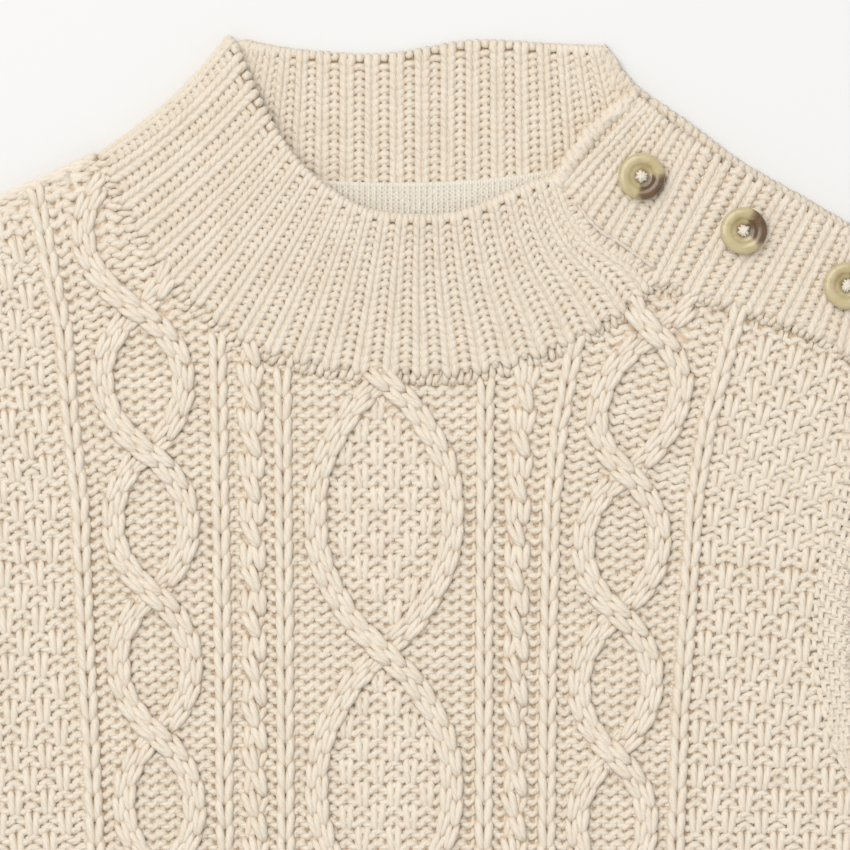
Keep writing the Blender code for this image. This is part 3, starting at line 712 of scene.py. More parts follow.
# ---- front, ribbed hem ---------------------------------------------------------------
# The lowest 40 mm are knitted in rib: forty ribs of knit stitches that stand up, with ladders of the yarn
# between them in the hollows.
RIB_LEG = table(KnitLeg, (
    (0.62, -1.95, -0.5, 0.7), (0.9, -0.7, 0.12, 1.08), (1.3, 0.7, 0.18, 1.14), (1.62, 1.95, -0.5, 0.78),
))
PLAIN_RIB_LEG = [RIB_LEG[0], KnitLeg(1.16, 0.0, 0.25, 1.16), RIB_LEG[3]]
Core = namedtuple("Core", "rise thick")  # yarn that lies behind a column
RIB_CORE = Core(-0.05, 0.62)
LADDER_CORE = Core(-0.5, 1.03)
CORE_SWELL, CORE_SINK = 1.2, 0.8  # how far it swells in wide ribs, and sinks as it does
RIB_ROW = 2.17
RIB_WIDE = 7.4  # pitch at which a rib has its full width
LEAST_RIB, MOST_RIB = 0.72, 1.25  # shares of that width
LADDER_SINK = -0.3
FIRST_SHARE, LAST_SHARE = 0.004, 0.996  # across a piece: no column runs right on its ends


def place_on(spot, t, s):
    """The place at a share t across a piece and s mm up it, from its spot(t, s)."""
    across = spot(t + 1e-3, s) - spot(t - 1e-3, s)
    up = spot(t, s + 0.2) - spot(t, s - 0.2)
    across /= np.linalg.norm(across)
    up /= np.linalg.norm(up)
    out = np.cross(across, up)
    return Place(spot(t, s), across, up, out / np.linalg.norm(out))


def ladder(spot, t, s, half, plump=1.0):
    """A bar of yarn across the hollow between two ribs."""
    place = place_on(spot, t, s)
    bend = uneven.uniform(0.0, 0.3)
    strand = []
    for off, up, rise, thick in ((-1, -0.15, -0.2, 1.16), (0, bend, 0, 1.03), (1, -0.15, -0.2, 1.16)):
        at = place.at + place.across * off * half + place.up * up + place.out * (rise + LADDER_SINK + 1 - plump)
        strand.append((*at, thick * plump, place.at[2] + 0.45))
    return strand


def ribbed(spot, ribs, long, legs=RIB_LEG, first_s=1.0, row=RIB_ROW, ladders=True, width=None, slit=0.0):
    """Strands for equal ribs over the whole of a piece; long(t) is its height, spot(t, s) a point on it.

    The ladders between the ribs stop a slit short of the top.
    """

    def share_at(t, s):
        pitch = np.linalg.norm(spot(t + 0.25 / ribs, s) - spot(t - 0.25 / ribs, s)) * 2
        return width or min(MOST_RIB, max(LEAST_RIB, pitch / RIB_WIDE))

    strands = []
    for k in range(2 * ribs + 1):
        t = min(max(k / 2 / ribs, FIRST_SHARE), LAST_SHARE)
        high = long(t)
        rows = max(1, round((high - first_s) / row))
        if legs is RIB_LEG:  # in the open view, yarn lies behind the column
            core = RIB_CORE if k % 2 else LADDER_CORE
            strand = []
            for n in range(rows + 1):
                s = first_s + (high - slit * (k % 2 == 0) - first_s) * n / rows
                place = place_on(spot, t, s)
                thick = core.thick * min(CORE_SWELL, share_at(t, s))
                sunk = core.rise - CORE_SINK * max(0.0, thick - core.thick)
                strand.append((*(place.at + place.out * sunk), thick, place.at[2] + 0.5))
            strands.append(strand)
        for n in range(rows):
            s = first_s + (high - first_s) * (n + 0.5) / rows
            share = share_at(t, s)
            if k % 2:
                plump = min(1.05, 0.4 + 0.6 * share)
                tall = max(1.0, row / RIB_ROW)
                strands += knit_legs(place_on(spot, t, s), legs, 1.3, wide=share, long=tall, thick=plump)
            elif ladders and s < high - slit:
                strands.append(ladder(spot, t, s + row / 2, 1.6 * share, (row / RIB_ROW) ** 0.6))
    return strands


def side_x(y):
    return float(np.interp(y, [HEM_Y, HEM_TOP, ARMHOLE[0].y], [146.0, 149.0, CHEST_HALF]))


HEM_RIBS = 40
HEM_Z = 4.9
HEM_SHARE = 0.992  # of its width: the last ribs stay inside the side seams


def hem_spot(t, s):
    y = HEM_Y + s
    return np.array([side_x(y) * (2 * t - 1) * HEM_SHARE, y, HEM_Z])


strands = ribbed(hem_spot, HEM_RIBS, lambda t: HEM_TOP - HEM_Y, PLAIN_RIB_LEG, 0.6, COURSE)
front_piece("front_hem", strands, 4, plain_yarn)

# ---- front, seams --------------------------------------------------------------------
# The sleeves are sewn into the armholes and the left shoulder is sewn up, both with the same yarn.


def lengthwise(path, every):
    """Points every so far along a path of points, with the path's direction at each."""
    path = np.array(path, float)
    lengths = np.concatenate([[0.0], np.cumsum(np.linalg.norm(np.diff(path, axis=0), axis=1))])
    for far in np.linspace(0, lengths[-1], max(2, round(lengths[-1] / every) + 1)):
        behind, at, ahead = (
            np.array([np.interp(far + step, lengths, path[:, axis]) for axis in range(3)]) for step in (-0.3, 0.0, 0.3)
        )
        yield far, at, (ahead - behind) / np.linalg.norm(ahead - behind)


def wound(path, plies, radius, turn, thick, top=1.2):
    """Strands that wind round a path, a whole turn each turn mm, as in a cord or a rolled edge."""
    strands = [[] for _ in range(plies)]
    for far, at, ahead in lengthwise(path, 1.4):
        across = np.array([-ahead[1], ahead[0], 0.0])
        for ply, strand in enumerate(strands):
            angle = 2 * math.pi * (ply / plies + far / turn)
            place = at + across * radius * math.cos(angle) + np.array([0, 0, radius * math.sin(angle)])
            strand.append((*place, thick * uneven.uniform(0.92, 1.08), at[2] + top))
    return strands


def seam_stitches(path, reach, every=2.1, thick=0.95, falls=(0.0, 0.0), slant=0.5):
    """Short strands across a seam, whose ends fall a little on its left and right."""
    strands = []
    for _, at, ahead in lengthwise(path, every):
        across = np.array([-ahead[1], ahead[0], 0.0])
        skew = uneven.gauss(slant, 0.35)
        size = thick * uneven.uniform(0.88, 1.1)
        strand = []
        for side, plump in ((-1, 0.8), (-0.45, 1.05), (0.45, 1.05), (1, 0.8)):
            fall = falls[side > 0] * abs(side) + 0.5 * side**4
            place = at + across * side * reach * uneven.uniform(0.88, 1.12) + ahead * skew * side
            strand.append((place[0], place[1], place[2] - fall, size * plump, at[2] + 0.9))
        strands.append(strand)
    return strands


strands = []
for side in (-1, 1):
    seam = [(side * (row.x + 0.3), row.y, 3.9) for row in ARMHOLE]
    strands += seam_stitches(seam, 1.7, 2.5, 1.2, (0.5, 0.5), 0.15)
    strands += wound([(x, y, 3.2) for x, y, _ in seam], 2, 0.8, 14.0, 1.5)
rolled_edge = [(row.x, row.y - 1.3, 3.6) for row in LEFT_SHOULDER]
strands += wound(rolled_edge, 3, 0.75, 11.0, 1.0)
strands += wound([(x, y - 2.7, 3.4) for x, y, _ in rolled_edge] + [(-71.5, 151.0, 3.4)], 2, 0.6, 9.0, 1.1)
front_piece("front_seams", strands)

# ---- front, backing ------------------------------------------------------------------
# What is seen between the stitches: the yarn's own back layer, in a darker colour that is painted shade, with an ecru
# edge all round.
SHADED = (0.635, 0.485, 0.345)
SHADED_LOW, SHADED_HIGH = ([share * c for c in SHADED] for share in (0.8, 1.25))


def plain_knit_material(name, colour, shade, wale, course):
    """Fine stocking stitch for the garment's underside: rows of V's, from the place on the object, with painted shade
    in the hollows between them.
    """
    made = Finish(name, {"Roughness": 0.9, "Specular IOR Level": 0.2, "Sheen Weight": 0.1})
    maths = made.maths
    x, y = made.split(made.place())
    off = maths("ABSOLUTE", maths("SUBTRACT", maths("FRACT", maths("DIVIDE", x, wale * MM)), 0.5))
    fold = maths("MULTIPLY", off, 2.0)
    up = maths("SUBTRACT", maths("DIVIDE", y, course * MM), fold)
    leg = maths("ABSOLUTE", maths("SINE", maths("MULTIPLY", up, math.pi)))
    girth = maths("MAXIMUM", maths("SINE", maths("MULTIPLY", fold, math.pi)), 0.0)
    height = maths("MULTIPLY", maths("POWER", leg, 0.5), maths("POWER", girth, 0.4))
    # painted shade: the hollows of the stitches take the shade colour, as well as the bump
    return made.finished(made.ramp(height, 0.0, shade, 0.6, colour), height, 0.9, 0.8 * MM)


dull = Finish("shaded_yarn", {"Roughness": 1.0, "Specular IOR Level": 0.1})
# painted shade: the backing's upper faces take a darker brown, so that the gaps between the stitches look deep
shaded = dull.finished(dull.ramp(dull.noise(dull.place(), 900.0), 0.0, SHADED_LOW, 1.0, SHADED_HIGH))
plain_knit = plain_knit_material("plain_knit", ECRU, ECRU_SHADE, WALE, COURSE)


def mesh_object(name, bm, *finishes):
    """An object in the scene from a bmesh, which is freed."""
    mesh = bpy.data.meshes.new(name)
    bm.to_mesh(mesh)
    bm.free()
    for finish in finishes:
        mesh.materials.append(finish)
    return placed(name, mesh)


def cloth_piece(name, bm, node, slot="knit", faces=shaded, edges=plain_knit, level=0.6):
    """A piece of cloth from its bmesh: faces that look up take the first finish, by default the painted shade, the
    others the second.
    """
    bmesh.ops.recalc_face_normals(bm, faces=bm.faces)
    if bm.calc_volume(signed=True) < 0:
        bmesh.ops.reverse_faces(bm, faces=bm.faces)
    for face in bm.faces:
        face.material_index = 0 if face.normal.z > level else 1
    made = mesh_object(name, bm, faces, edges)
    made.data.shade_smooth()
    made.data.set_sharp_from_angle(angle=math.radians(50))
    return shown(made, node, slot)


def node_copy(node):
    """A merged copy of a CAD node's mesh."""
    bm = bmesh.new()
    bm.from_mesh(frame["nodes"][node].data)
    bmesh.ops.remove_doubles(bm, verts=bm.verts, dist=1e-6)
    return bm


def squeezed(node, under, share):
    """A copy of a CAD node whose heights above under are reduced to a share."""
    bm = node_copy(node)
    for vert in bm.verts:
        if vert.co.z > under * MM:
            vert.co.z = under * MM + (vert.co.z - under * MM) * share
    return bm


FRONT_Z = 2.5  # inside of the front
FRONT_BACKING = 0.54  # share of the wall's height that its backing keeps
front_cloth = cloth_piece("front_cloth", squeezed("front", FRONT_Z, FRONT_BACKING), "front")
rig.sheet(
    front_cloth, flat=(0.300, 0.339), held="laid", rests_on=["back_cloth"], area=0.0836, with_pieces=front_layers
)

# ---- back ----------------------------------------------------------------------------
# The back is knitted as the front is, and only its edges and its underside could be seen: plain knitting.
back_cloth = cloth_piece("back_cloth", node_copy("back"), "back")
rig.sheet(back_cloth, flat=(0.300, 0.339), held="laid", area=0.0860)

# ---- collar --------------------------------------------------------------------------
# One strip of rib, picked up round the neck, folded at the left neck point and open at the buttons. Its
# back half shows its inside; its free edge is knitted double, so that the ribs run together over it.
CollarRow = namedtuple("CollarRow", "base_x base_y top_x top_y")
BACK_COLLAR = table(CollarRow, (  # from its right end, at the buttons, to the fold at the left
    (68.3, 149.4, 59.0, 182.6), (48.0, 145.5, 46.0, 183.2), (24.0, 142.6, 24.0, 184.2),
    (0.0, 141.4, 0.0, 180.6), (-24.0, 142.6, -22.0, 181.6), (-48.0, 145.7, -34.5, 183.6),
    (-66.0, 149.2, -38.0, 184.0), (-74.0, 151.8, -39.6, 183.0),
))
FRONT_COLLAR = table(CollarRow, (  # from the fold at the left to its end at the button band
    (-74.0, 151.8, -39.6, 183.0), (-70.2, 142.4, -35.6, 173.5), (-62.2, 128.8, -29.2, 160.5),
    (-50.5, 114.6, -22.6, 151.0), (-34.3, 102.7, -13.6, 143.4), (-16.0, 97.0, -4.8, 138.6),
    (5.0, 94.9, 7.0, 136.8), (27.0, 95.8, 20.0, 137.6), (48.0, 102.4, 33.0, 142.6), (62.0, 109.8, 41.0, 146.2),
    (73.0, 119.3, 47.6, 148.0),
))
COLLAR_END = table(At, (  # the front collar's seam with the button band, from its base to its free edge
    (73.0, 119.3), (68.5, 124.0), (62.6, 127.6), (57.0, 130.8), (51.5, 137.4), (47.6, 148.0),
))
BACK_WALL = 2.2
NECK_Z = 3.9  # inside of the front collar
COLLAR_WALL = 2.0
COLLAR_LIFT = 4.0
FOLD_OUT = np.array([0.66, -0.75])  # the way in which the fold dips
FOLD_DIP = 2.2
FOLD_RADIUS = (NECK_Z + COLLAR_WALL) / 2
BACK_RIBS, FOLD_RIBS, FRONT_RIBS = 21, 2, 22


def through(knots, values, at):
    """Values on a smooth curve through rows of values at rising knots."""
    knots = np.asarray(knots, float)
    values = np.asarray(values, float)
    slopes = np.gradient(values, knots, axis=0)
    at = min(max(at, knots[0]), knots[-1])
    i = min(int(np.searchsorted(knots, at, side="right")) - 1, len(knots) - 2)
    span = knots[i + 1] - knots[i]
    s = (at - knots[i]) / span
    return (
        (2 * s**3 - 3 * s**2 + 1) * values[i]
        + (s**3 - 2 * s**2 + s) * span * slopes[i]
        + (3 * s**2 - 2 * s**3) * values[i + 1]
        + (s**3 - s**2) * span * slopes[i + 1]
    )


def along(rows, share):
    """The row at a share of the way along a smooth line through rows, by its first two columns' length."""
    values = np.array(rows)
    steps = np.hypot(*np.diff(values[:, :2], axis=0).T)
    lengths = np.concatenate([[0.0], np.cumsum(steps)])
    return through(lengths, values, share * lengths[-1])


def strip_height(rows):
    """A function that gives the straight length of a strip's row at a share t along it."""

    def high(t):
        low_x, low_y, high_x, high_y = along(rows, min(max(t, 0.0), 1.0))
        return math.hypot(high_x - low_x, high_y - low_y)

    return high


def bow(rows, t, h):
    """The strip's point at a share t along and h up; its fold dips a little, its end follows the seam."""
    base_x, base_y, top_x, top_y = along(rows, t)
    point = np.array([base_x + (top_x - base_x) * h, base_y + (top_y - base_y) * h])
    at_fold = (1 - t if rows is FRONT_COLLAR else t) ** 6
    point += FOLD_OUT * FOLD_DIP * at_fold * 4 * h * (1 - h)
    if rows is FRONT_COLLAR:
        last = rows[-1]
        straight = np.array([last.base_x, last.base_y]) * (1 - h) + np.array([last.top_x, last.top_y]) * h
        point += (along(COLLAR_END, min(max(h, 0.0), 1.0)) - straight) * t**5
    return point


front_collar_high = strip_height(FRONT_COLLAR)
back_collar_high = strip_height(BACK_COLLAR)


def lift(t, h):
    """The free edge of the front stands off the back, most in the middle."""
    return COLLAR_LIFT * max(0.0, h) ** 1.5 * math.sin(math.pi * min(1.0, max(0.0, t) * 1.05)) ** 0.8


def front_collar_spot(t, s, off=COLLAR_WALL):
    t = min(max(t, 0.0), 1.0)
    h = s / front_collar_high(t)
    x, y = bow(FRONT_COLLAR, t, h)
    return np.array([x, y, NECK_Z + off + lift(t, min(h, 1.0))])


def back_collar_spot(t, s, off=BACK_WALL):
    """The back half's upper face, which is the collar's inside, from the fold to its right end."""
    t = min(max(t, 0.0), 1.0)
    x, y = bow(BACK_COLLAR, 1 - t, s / back_collar_high(1 - t))
    return np.array([x, y, off])


def fold_spot(t, s, r=FOLD_RADIUS):
    """The fold at the left neck point, from below round to the front."""
    angle = math.pi * (t - 0.5)
    x, y = bow(FRONT_COLLAR, 0.0, s / front_collar_high(0.0)) - FOLD_OUT * r * math.cos(angle)
    return np.array([x, y, FOLD_RADIUS + r * math.sin(angle)])


EDGE_BEND = 1.3  # radius to which the free edge rolls over
EDGE_SLIT = 3.0  # the hollows end in a slit of this length below the edge
EDGE_BELOW = 1.6  # the edge starts to roll this far below a piece's full height
EDGE_LAP = 0.4  # and the ribs reach this far past that
EDGE_WRAP = 3.4  # and the stitches on the edge itself this far


def over_edge(spot, long):
    """Carries a piece's spot(t, s) round its free edge, which starts at s = long(t)."""

    def carried(t, s):
        past = s - long(t)
        if past <= 0:
            return spot(t, s)
        edge = spot(t, long(t))
        up = edge - spot(t, long(t) - 0.5)
        up /= np.linalg.norm(up)
        angle = past / EDGE_BEND
        return edge + up * EDGE_BEND * math.sin(angle) - np.array([0, 0, EDGE_BEND * (1 - math.cos(angle))])

    return carried


def edge_stitches(spot, columns, long, thick):
    """Yarn that wraps over the free edge: a stitch on each column of the ribs and of the hollows."""
    strands = []
    for k in range(columns + 1):
        t = min(max(k / columns, FIRST_SHARE), LAST_SHARE)
        start = long(t) - (0.1 if k % 3 == 0 else 1.4)
        strand = []
        for n, (share, plump) in enumerate(((0.0, 0.85), (0.25, 1.0), (0.5, 1.0), (0.75, 1.0), (1.0, 0.9))):
            s = start + (long(t) + EDGE_WRAP - start) * share
            place = place_on(spot, t, s)
            at = place.at + place.across * uneven.uniform(-0.15, 0.15) + place.out * (-0.4 if n == 0 else -0.05)
            strand.append((*at, thick * plump, place.at[2] + 1.3))
        strands.append(strand)
    return strands


RIB_ECRU = (0.774, 0.694, 0.577)
RIB_SHADE = (0.70, 0.602, 0.478)
# the deep colour is painted shade, lighter here than on the ground
RIB_PAINTED_SHADE = (0.80, 0.645, 0.465)
rib_yarn = yarn_material("rib_yarn", RIB_ECRU, RIB_SHADE, RIB_PAINTED_SHADE)
collar_layers = []
for name, spot, high, ribs in (
    ("collar_front_ribs", front_collar_spot, front_collar_high, FRONT_RIBS),
    ("collar_back_ribs", back_collar_spot, lambda t: back_collar_high(1 - t), BACK_RIBS),
    ("collar_fold_ribs", fold_spot, lambda t: front_collar_high(0.0), FOLD_RIBS),
):

    def edge_at(t, high=high):
        return high(t) - EDGE_BELOW

    rolled = over_edge(spot, edge_at)
    strands = ribbed(rolled, ribs, lambda t: edge_at(t) + EDGE_LAP, first_s=-0.6, slit=EDGE_SLIT)
    strands += edge_stitches(rolled, 3 * ribs, edge_at, 1.2)
    if spot is front_collar_spot:  # and its seam with the front
        seam = [front_collar_spot(t, -1.2) - (0, 0, 0.8) for t in np.linspace(0.0, 1.0, 40)]
        strands += seam_stitches(seam, 2.3, falls=(0.0, 0.9))
    elif spot is back_collar_spot:
        seam = [back_collar_spot(t, -0.4) + (0, 0, 0.3) for t in np.linspace(0.0, 1.0, 40)]
        strands += seam_stitches(seam, 1.8)
        end = [back_collar_spot(1.0, s) + (0.6, 0.2, -0.4) for s in np.linspace(0.0, back_collar_high(0.0) - 1.0, 12)]
        strands += wound(end, 2, 0.7, 9.0, 1.0)
    collar_layers.append(yarn_piece(name, strands, 6, rib_yarn, "collar", "rib_knit"))


def strip_cloth(name, spots, thick, node, slot="rib_knit", faces=shaded):
    """A closed strip of cloth on both sides of rows of spots, one row for each station along it."""
    bm = bmesh.new()
    across, up = len(spots) - 1, len(spots[0]) - 1
    bmesh.ops.create_grid(bm, x_segments=across, y_segments=up, size=0.5)
    for vert in bm.verts:
        i, j = round((vert.co.x + 0.5) * across), round((vert.co.y + 0.5) * up)
        vert.co = Vector(spots[i][j]) * MM
    bmesh.ops.recalc_face_normals(bm, faces=bm.faces)
    bm.normal_update()
    outwards = [vert.normal.copy() for vert in bm.verts]
    for vert, out in zip(bm.verts, outwards):
        vert.co += out * thick / 2 * MM
    bmesh.ops.solidify(bm, geom=bm.faces[:], thickness=thick * MM)
    return cloth_piece(name, bm, node, slot, faces)


# the cloth runs a little below the yarn
COLLAR_STEPS = [0.02, 0.1, 0.3, 0.5, 0.7, 0.88, 0.97]
spots = [
    [back_collar_spot(1 - t, h * back_collar_high(t), 0.9) for h in COLLAR_STEPS] for t in np.linspace(0.005, 1, 20)
]
spots += [
    [fold_spot(t, h * front_collar_high(0.0), FOLD_RADIUS - 1.3) for h in COLLAR_STEPS] for t in (0.2, 0.4, 0.6, 0.8)
]
spots += [
    [front_collar_spot(t, h * front_collar_high(t), 0.7) for h in COLLAR_STEPS] for t in np.linspace(0, 0.995, 30)
]
collar_cloth = strip_cloth("collar_cloth", spots, 1.0, "collar")
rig.sheet(
    collar_cloth, flat=(0.305, 0.043), held="folded", rests_on=["back_cloth"], area=0.0122, with_pieces=collar_layers
)

# ---- button bands --------------------------------------------------------------------
# Two strips of rib along the wearer's left shoulder, sewn to the front and to the back. The front one laps
# over the other, and its end at the collar is overcast; the buttons hide where its three holes would be.
BandRow = namedtuple("BandRow", "low_x low_y high_x high_y")
FRONT_BAND = table(BandRow, (  # from its overcast end at the collar to the armhole
    (48.7, 148.8, 68.5, 167.5), (53.0, 139.1, 72.6, 164.4), (58.4, 132.6, 76.4, 161.0),
    (63.9, 129.4, 80.4, 158.2), (69.5, 125.2, 84.6, 155.4), (74.7, 120.3, 91.0, 151.4),
    (86.3, 116.3, 103.0, 144.4), (102.3, 111.3, 116.0, 137.0), (113.3, 107.4, 125.0, 132.0),
    (128.6, 99.4, 132.6, 128.4),
))
BACK_BAND = table(BandRow, (
    (69.3, 149.4, 59.6, 183.0), (76.0, 144.6, 67.2, 172.8), (84.0, 138.9, 80.2, 163.6),
    (97.0, 129.6, 96.0, 151.8), (112.0, 118.6, 113.0, 142.0), (130.0, 104.8, 133.0, 130.4),
))
BAND_RIBS = 11
BACK_BAND_Z = 2.0
BACK_BAND_WALES, BACK_BAND_WALE = 20, 0.95
FLANK_DEEP, FLANK_THICK = 0.85, 1.0  # of the yarn behind the flanks of its wide ribs


def band_spot(rows, z):
    """A function that gives the point of a band at a share t along it and s mm up."""
    high = strip_height(rows)

    def spot(t, s):
        low_x, low_y, high_x, high_y = along(rows, min(max(t, 0.0), 1.0))
        h = s / high(t)
        return np.array([low_x + (high_x - low_x) * h, low_y + (high_y - low_y) * h, z])

    return spot


front_band_high = strip_height(FRONT_BAND)
back_band_high = strip_height(BACK_BAND)
front_band_spot = band_spot(FRONT_BAND, NECK_Z + COLLAR_WALL)
back_band_spot = band_spot(BACK_BAND, BACK_BAND_Z)


def front_band_edge(t):
    return front_band_high(t) - 0.5


rolled = over_edge(front_band_spot, front_band_edge)
strands = ribbed(rolled, BAND_RIBS, lambda t: front_band_edge(t) + EDGE_LAP, first_s=-1.2)
for k in range(1, 4 * BAND_RIBS, 2):
    t = k / 4 / BAND_RIBS
    strand = []
    for s in np.linspace(-1.0, front_band_edge(t) - 0.5, 12):
        place = place_on(rolled, t, s)
        strand.append((*(place.at - place.out * FLANK_DEEP), FLANK_THICK, place.at[2] + 0.5))
    strands.append(strand)
strands += edge_stitches(rolled, 3 * BAND_RIBS, front_band_edge, 1.2)
# its end at the collar
overcast = [(47.4, 146.0, 5.6), (50.6, 151.6, 5.9), (56.0, 158.6, 6.0), (62.0, 164.6, 5.8), (67.6, 168.6, 5.0)]
strands += wound(overcast, 3, 0.9, 24.0, 1.2, 1.9)
strands += seam_stitches([(x, y, z + 1.5) for x, y, z in overcast], 2.2, 2.3, 1.3, (1.5, 1.5), 1.3)
# its seams with the collar's end and with the front
seam = [(*along(COLLAR_END, h), 5.7) for h in np.linspace(0.0, 1.0, 14)]
strands += seam_stitches(seam, 2.4, 2.0, falls=(0.2, 0.2))
seam = [front_band_spot(t, -0.6) - (0, 0, 0.8) for t in np.linspace(0.28, 1.0, 20)]
strands += seam_stitches(seam, 2.3, falls=(0.0, 0.9))
# the sewing thread that shows along its seam with the collar
sewing = [(52.6, 139.9), (55.0, 136.4), (58.6, 132.6), (64.0, 129.6), (69.4, 125.6), (73.4, 122.9)]
strands += wound([(x, y, 7.25) for x, y in sewing], 2, 0.26, 4.0, 0.36, 0.6)
front_band_layers = [yarn_piece("band_front_ribs", strands, 6, rib_yarn, "button_band_front", "rib_knit")]


def back_band_edge(t):
    return back_band_high(t) - 1.4


rolled = over_edge(back_band_spot, back_band_edge)
strands = ribbed(
    rolled, BACK_BAND_WALES, lambda t: back_band_high(t) - 1.0, PLAIN_RIB_LEG, ladders=False, width=BACK_BAND_WALE
)
strands += edge_stitches(rolled, 2 * BACK_BAND_WALES + 1, back_band_edge, 1.1)
back_band_layers = [yarn_piece("band_back_knit", strands, 4, rib_yarn, "button_band_back", "rib_knit")]

BAND_STEPS = [0.02, 0.25, 0.5, 0.75, 0.95]
Band = namedtuple("Band", "name node spot high layers cut area under")
for band in (
    Band(
        "band_back_cloth", "button_band_back", band_spot(BACK_BAND, 0.9), back_band_high,
        back_band_layers, (0.078, 0.035), 0.0016, [],
    ),
    Band(
        "band_front_cloth", "button_band_front", band_spot(FRONT_BAND, 4.3), front_band_high,
        front_band_layers, (0.098, 0.034), 0.0025, ["band_back_cloth"],
    ),
):
    spots = [[band.spot(t, h * band.high(t)) for h in BAND_STEPS] for t in np.linspace(0.008, 0.992, 24)]
    made = strip_cloth(band.name, spots, 0.9, band.node)
    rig.sheet(made, flat=band.cut, held="laid", rests_on=band.under, area=band.area, with_pieces=band.layers)

# ---- neck tape -----------------------------------------------------------------------
# A strip of fine knitting that covers the seam inside the back of the neck.
TAPE = [At(-48.0, 145.1), At(-24.0, 141.9), At(4.0, 140.7), At(30.0, 141.9), At(52.0, 145.3)]
TAPE_WIDE = 10.0
TAPE_Z, TAPE_BACK_Z = 3.2, 2.85
TAPE_WALES = 66
TAPE_ROW = 1.15
TAPE_LEG = [KnitLeg(0.24, -0.85, -0.05, 0.5), KnitLeg(0.5, 0.85, -0.03, 0.52)]
TAPE_ECRU = (0.79, 0.748, 0.665)
TAPE_SHADE = (0.757, 0.707, 0.62)
# its deep colour is painted shade, close to the yarn's own
tape_yarn = yarn_material("tape_yarn", TAPE_ECRU, TAPE_SHADE, (0.75, 0.69, 0.595), lay=4.0, bumps=0.3)
tape_back = plain_knit_material("tape_back", TAPE_ECRU, TAPE_SHADE, 1.53, TAPE_ROW)


def tape_spot(t, s, z=TAPE_Z):
    x, y = along(TAPE, min(max(t, 0.0), 1.0))
    return np.array([x, y + s - TAPE_WIDE / 2, z])


strands = ribbed(tape_spot, TAPE_WALES, lambda t: TAPE_WIDE, TAPE_LEG, 0.2, TAPE_ROW, ladders=False, width=1.0)
tape_layers = [yarn_piece("tape_knitting", strands, 4, tape_yarn, "neck_tape", "tape_knit")]
spots = [[tape_spot(t, s, TAPE_BACK_Z) for s in (0.1, 5.0, 9.9)] for t in np.linspace(0.0, 1.0, 12)]
tape_cloth = strip_cloth("tape_cloth", spots, 0.5, "neck_tape", "tape_knit", tape_back)
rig.sheet(tape_cloth, flat=(0.101, 0.010), held="laid", rests_on=["back_cloth"], with_pieces=tape_layers)

# ---- sleeves -------------------------------------------------------------------------
# Each sleeve is a tube, knitted in moss stitch and sewn up under the arm, with a ribbed cuff. It lies flat,
# with two soft folds below the armhole.
CUFF_WIDTH = 70.0
CUFF_RIB = 45.0
CUFF_OUTER = (292.0, -112.0)
CUFF_TURN = math.radians(33)
CUFF_RIBS = 11
CUFF_Z = 5.4
SLEEVE_BULGE = 7.0
SLEEVE_TOP = 0.004  # share of its length at which its first course runs
PLAIN_COURSES = 5  # at the armhole, before the moss stitch starts
SLEEVE_BACKING = 0.74  # share of the wall's height that its backing keeps
HOLE_SHARES = np.linspace(0, 1, 81)
SLEEVE_LONG = math.hypot(CUFF_OUTER[0] - ARMHOLE[-1].x, CUFF_OUTER[1] - ARMHOLE[-1].y)
CUFF_SHARE = CUFF_RIB / SLEEVE_LONG
SLEEVE_LEG = [MOSS_LEG[0], KnitLeg(1.12, 0.0, 0.3, 1.05), MOSS_LEG[4]]
along_armhole = np.array([along(ARMHOLE, share) for share in HOLE_SHARES])


def sleeve_at(side, w, t):
    """The sleeve's point at a share w across, from the underarm, and t down to the cuff's end."""
    hole = np.array([np.interp(w, HOLE_SHARES, column) for column in along_armhole.T]) + (0.7, 0.0)
    out = np.array([math.cos(CUFF_TURN), math.sin(CUFF_TURN)])
    cuff = np.array(CUFF_OUTER) - out * CUFF_WIDTH * (1 - w)
    bulge = math.sin(math.pi * min(1.0, t * 1.1)) * SLEEVE_BULGE * (2 * w - 1)
    x, y = hole + (cuff - hole) * t + bulge * out
    return np.array([side * x, y])


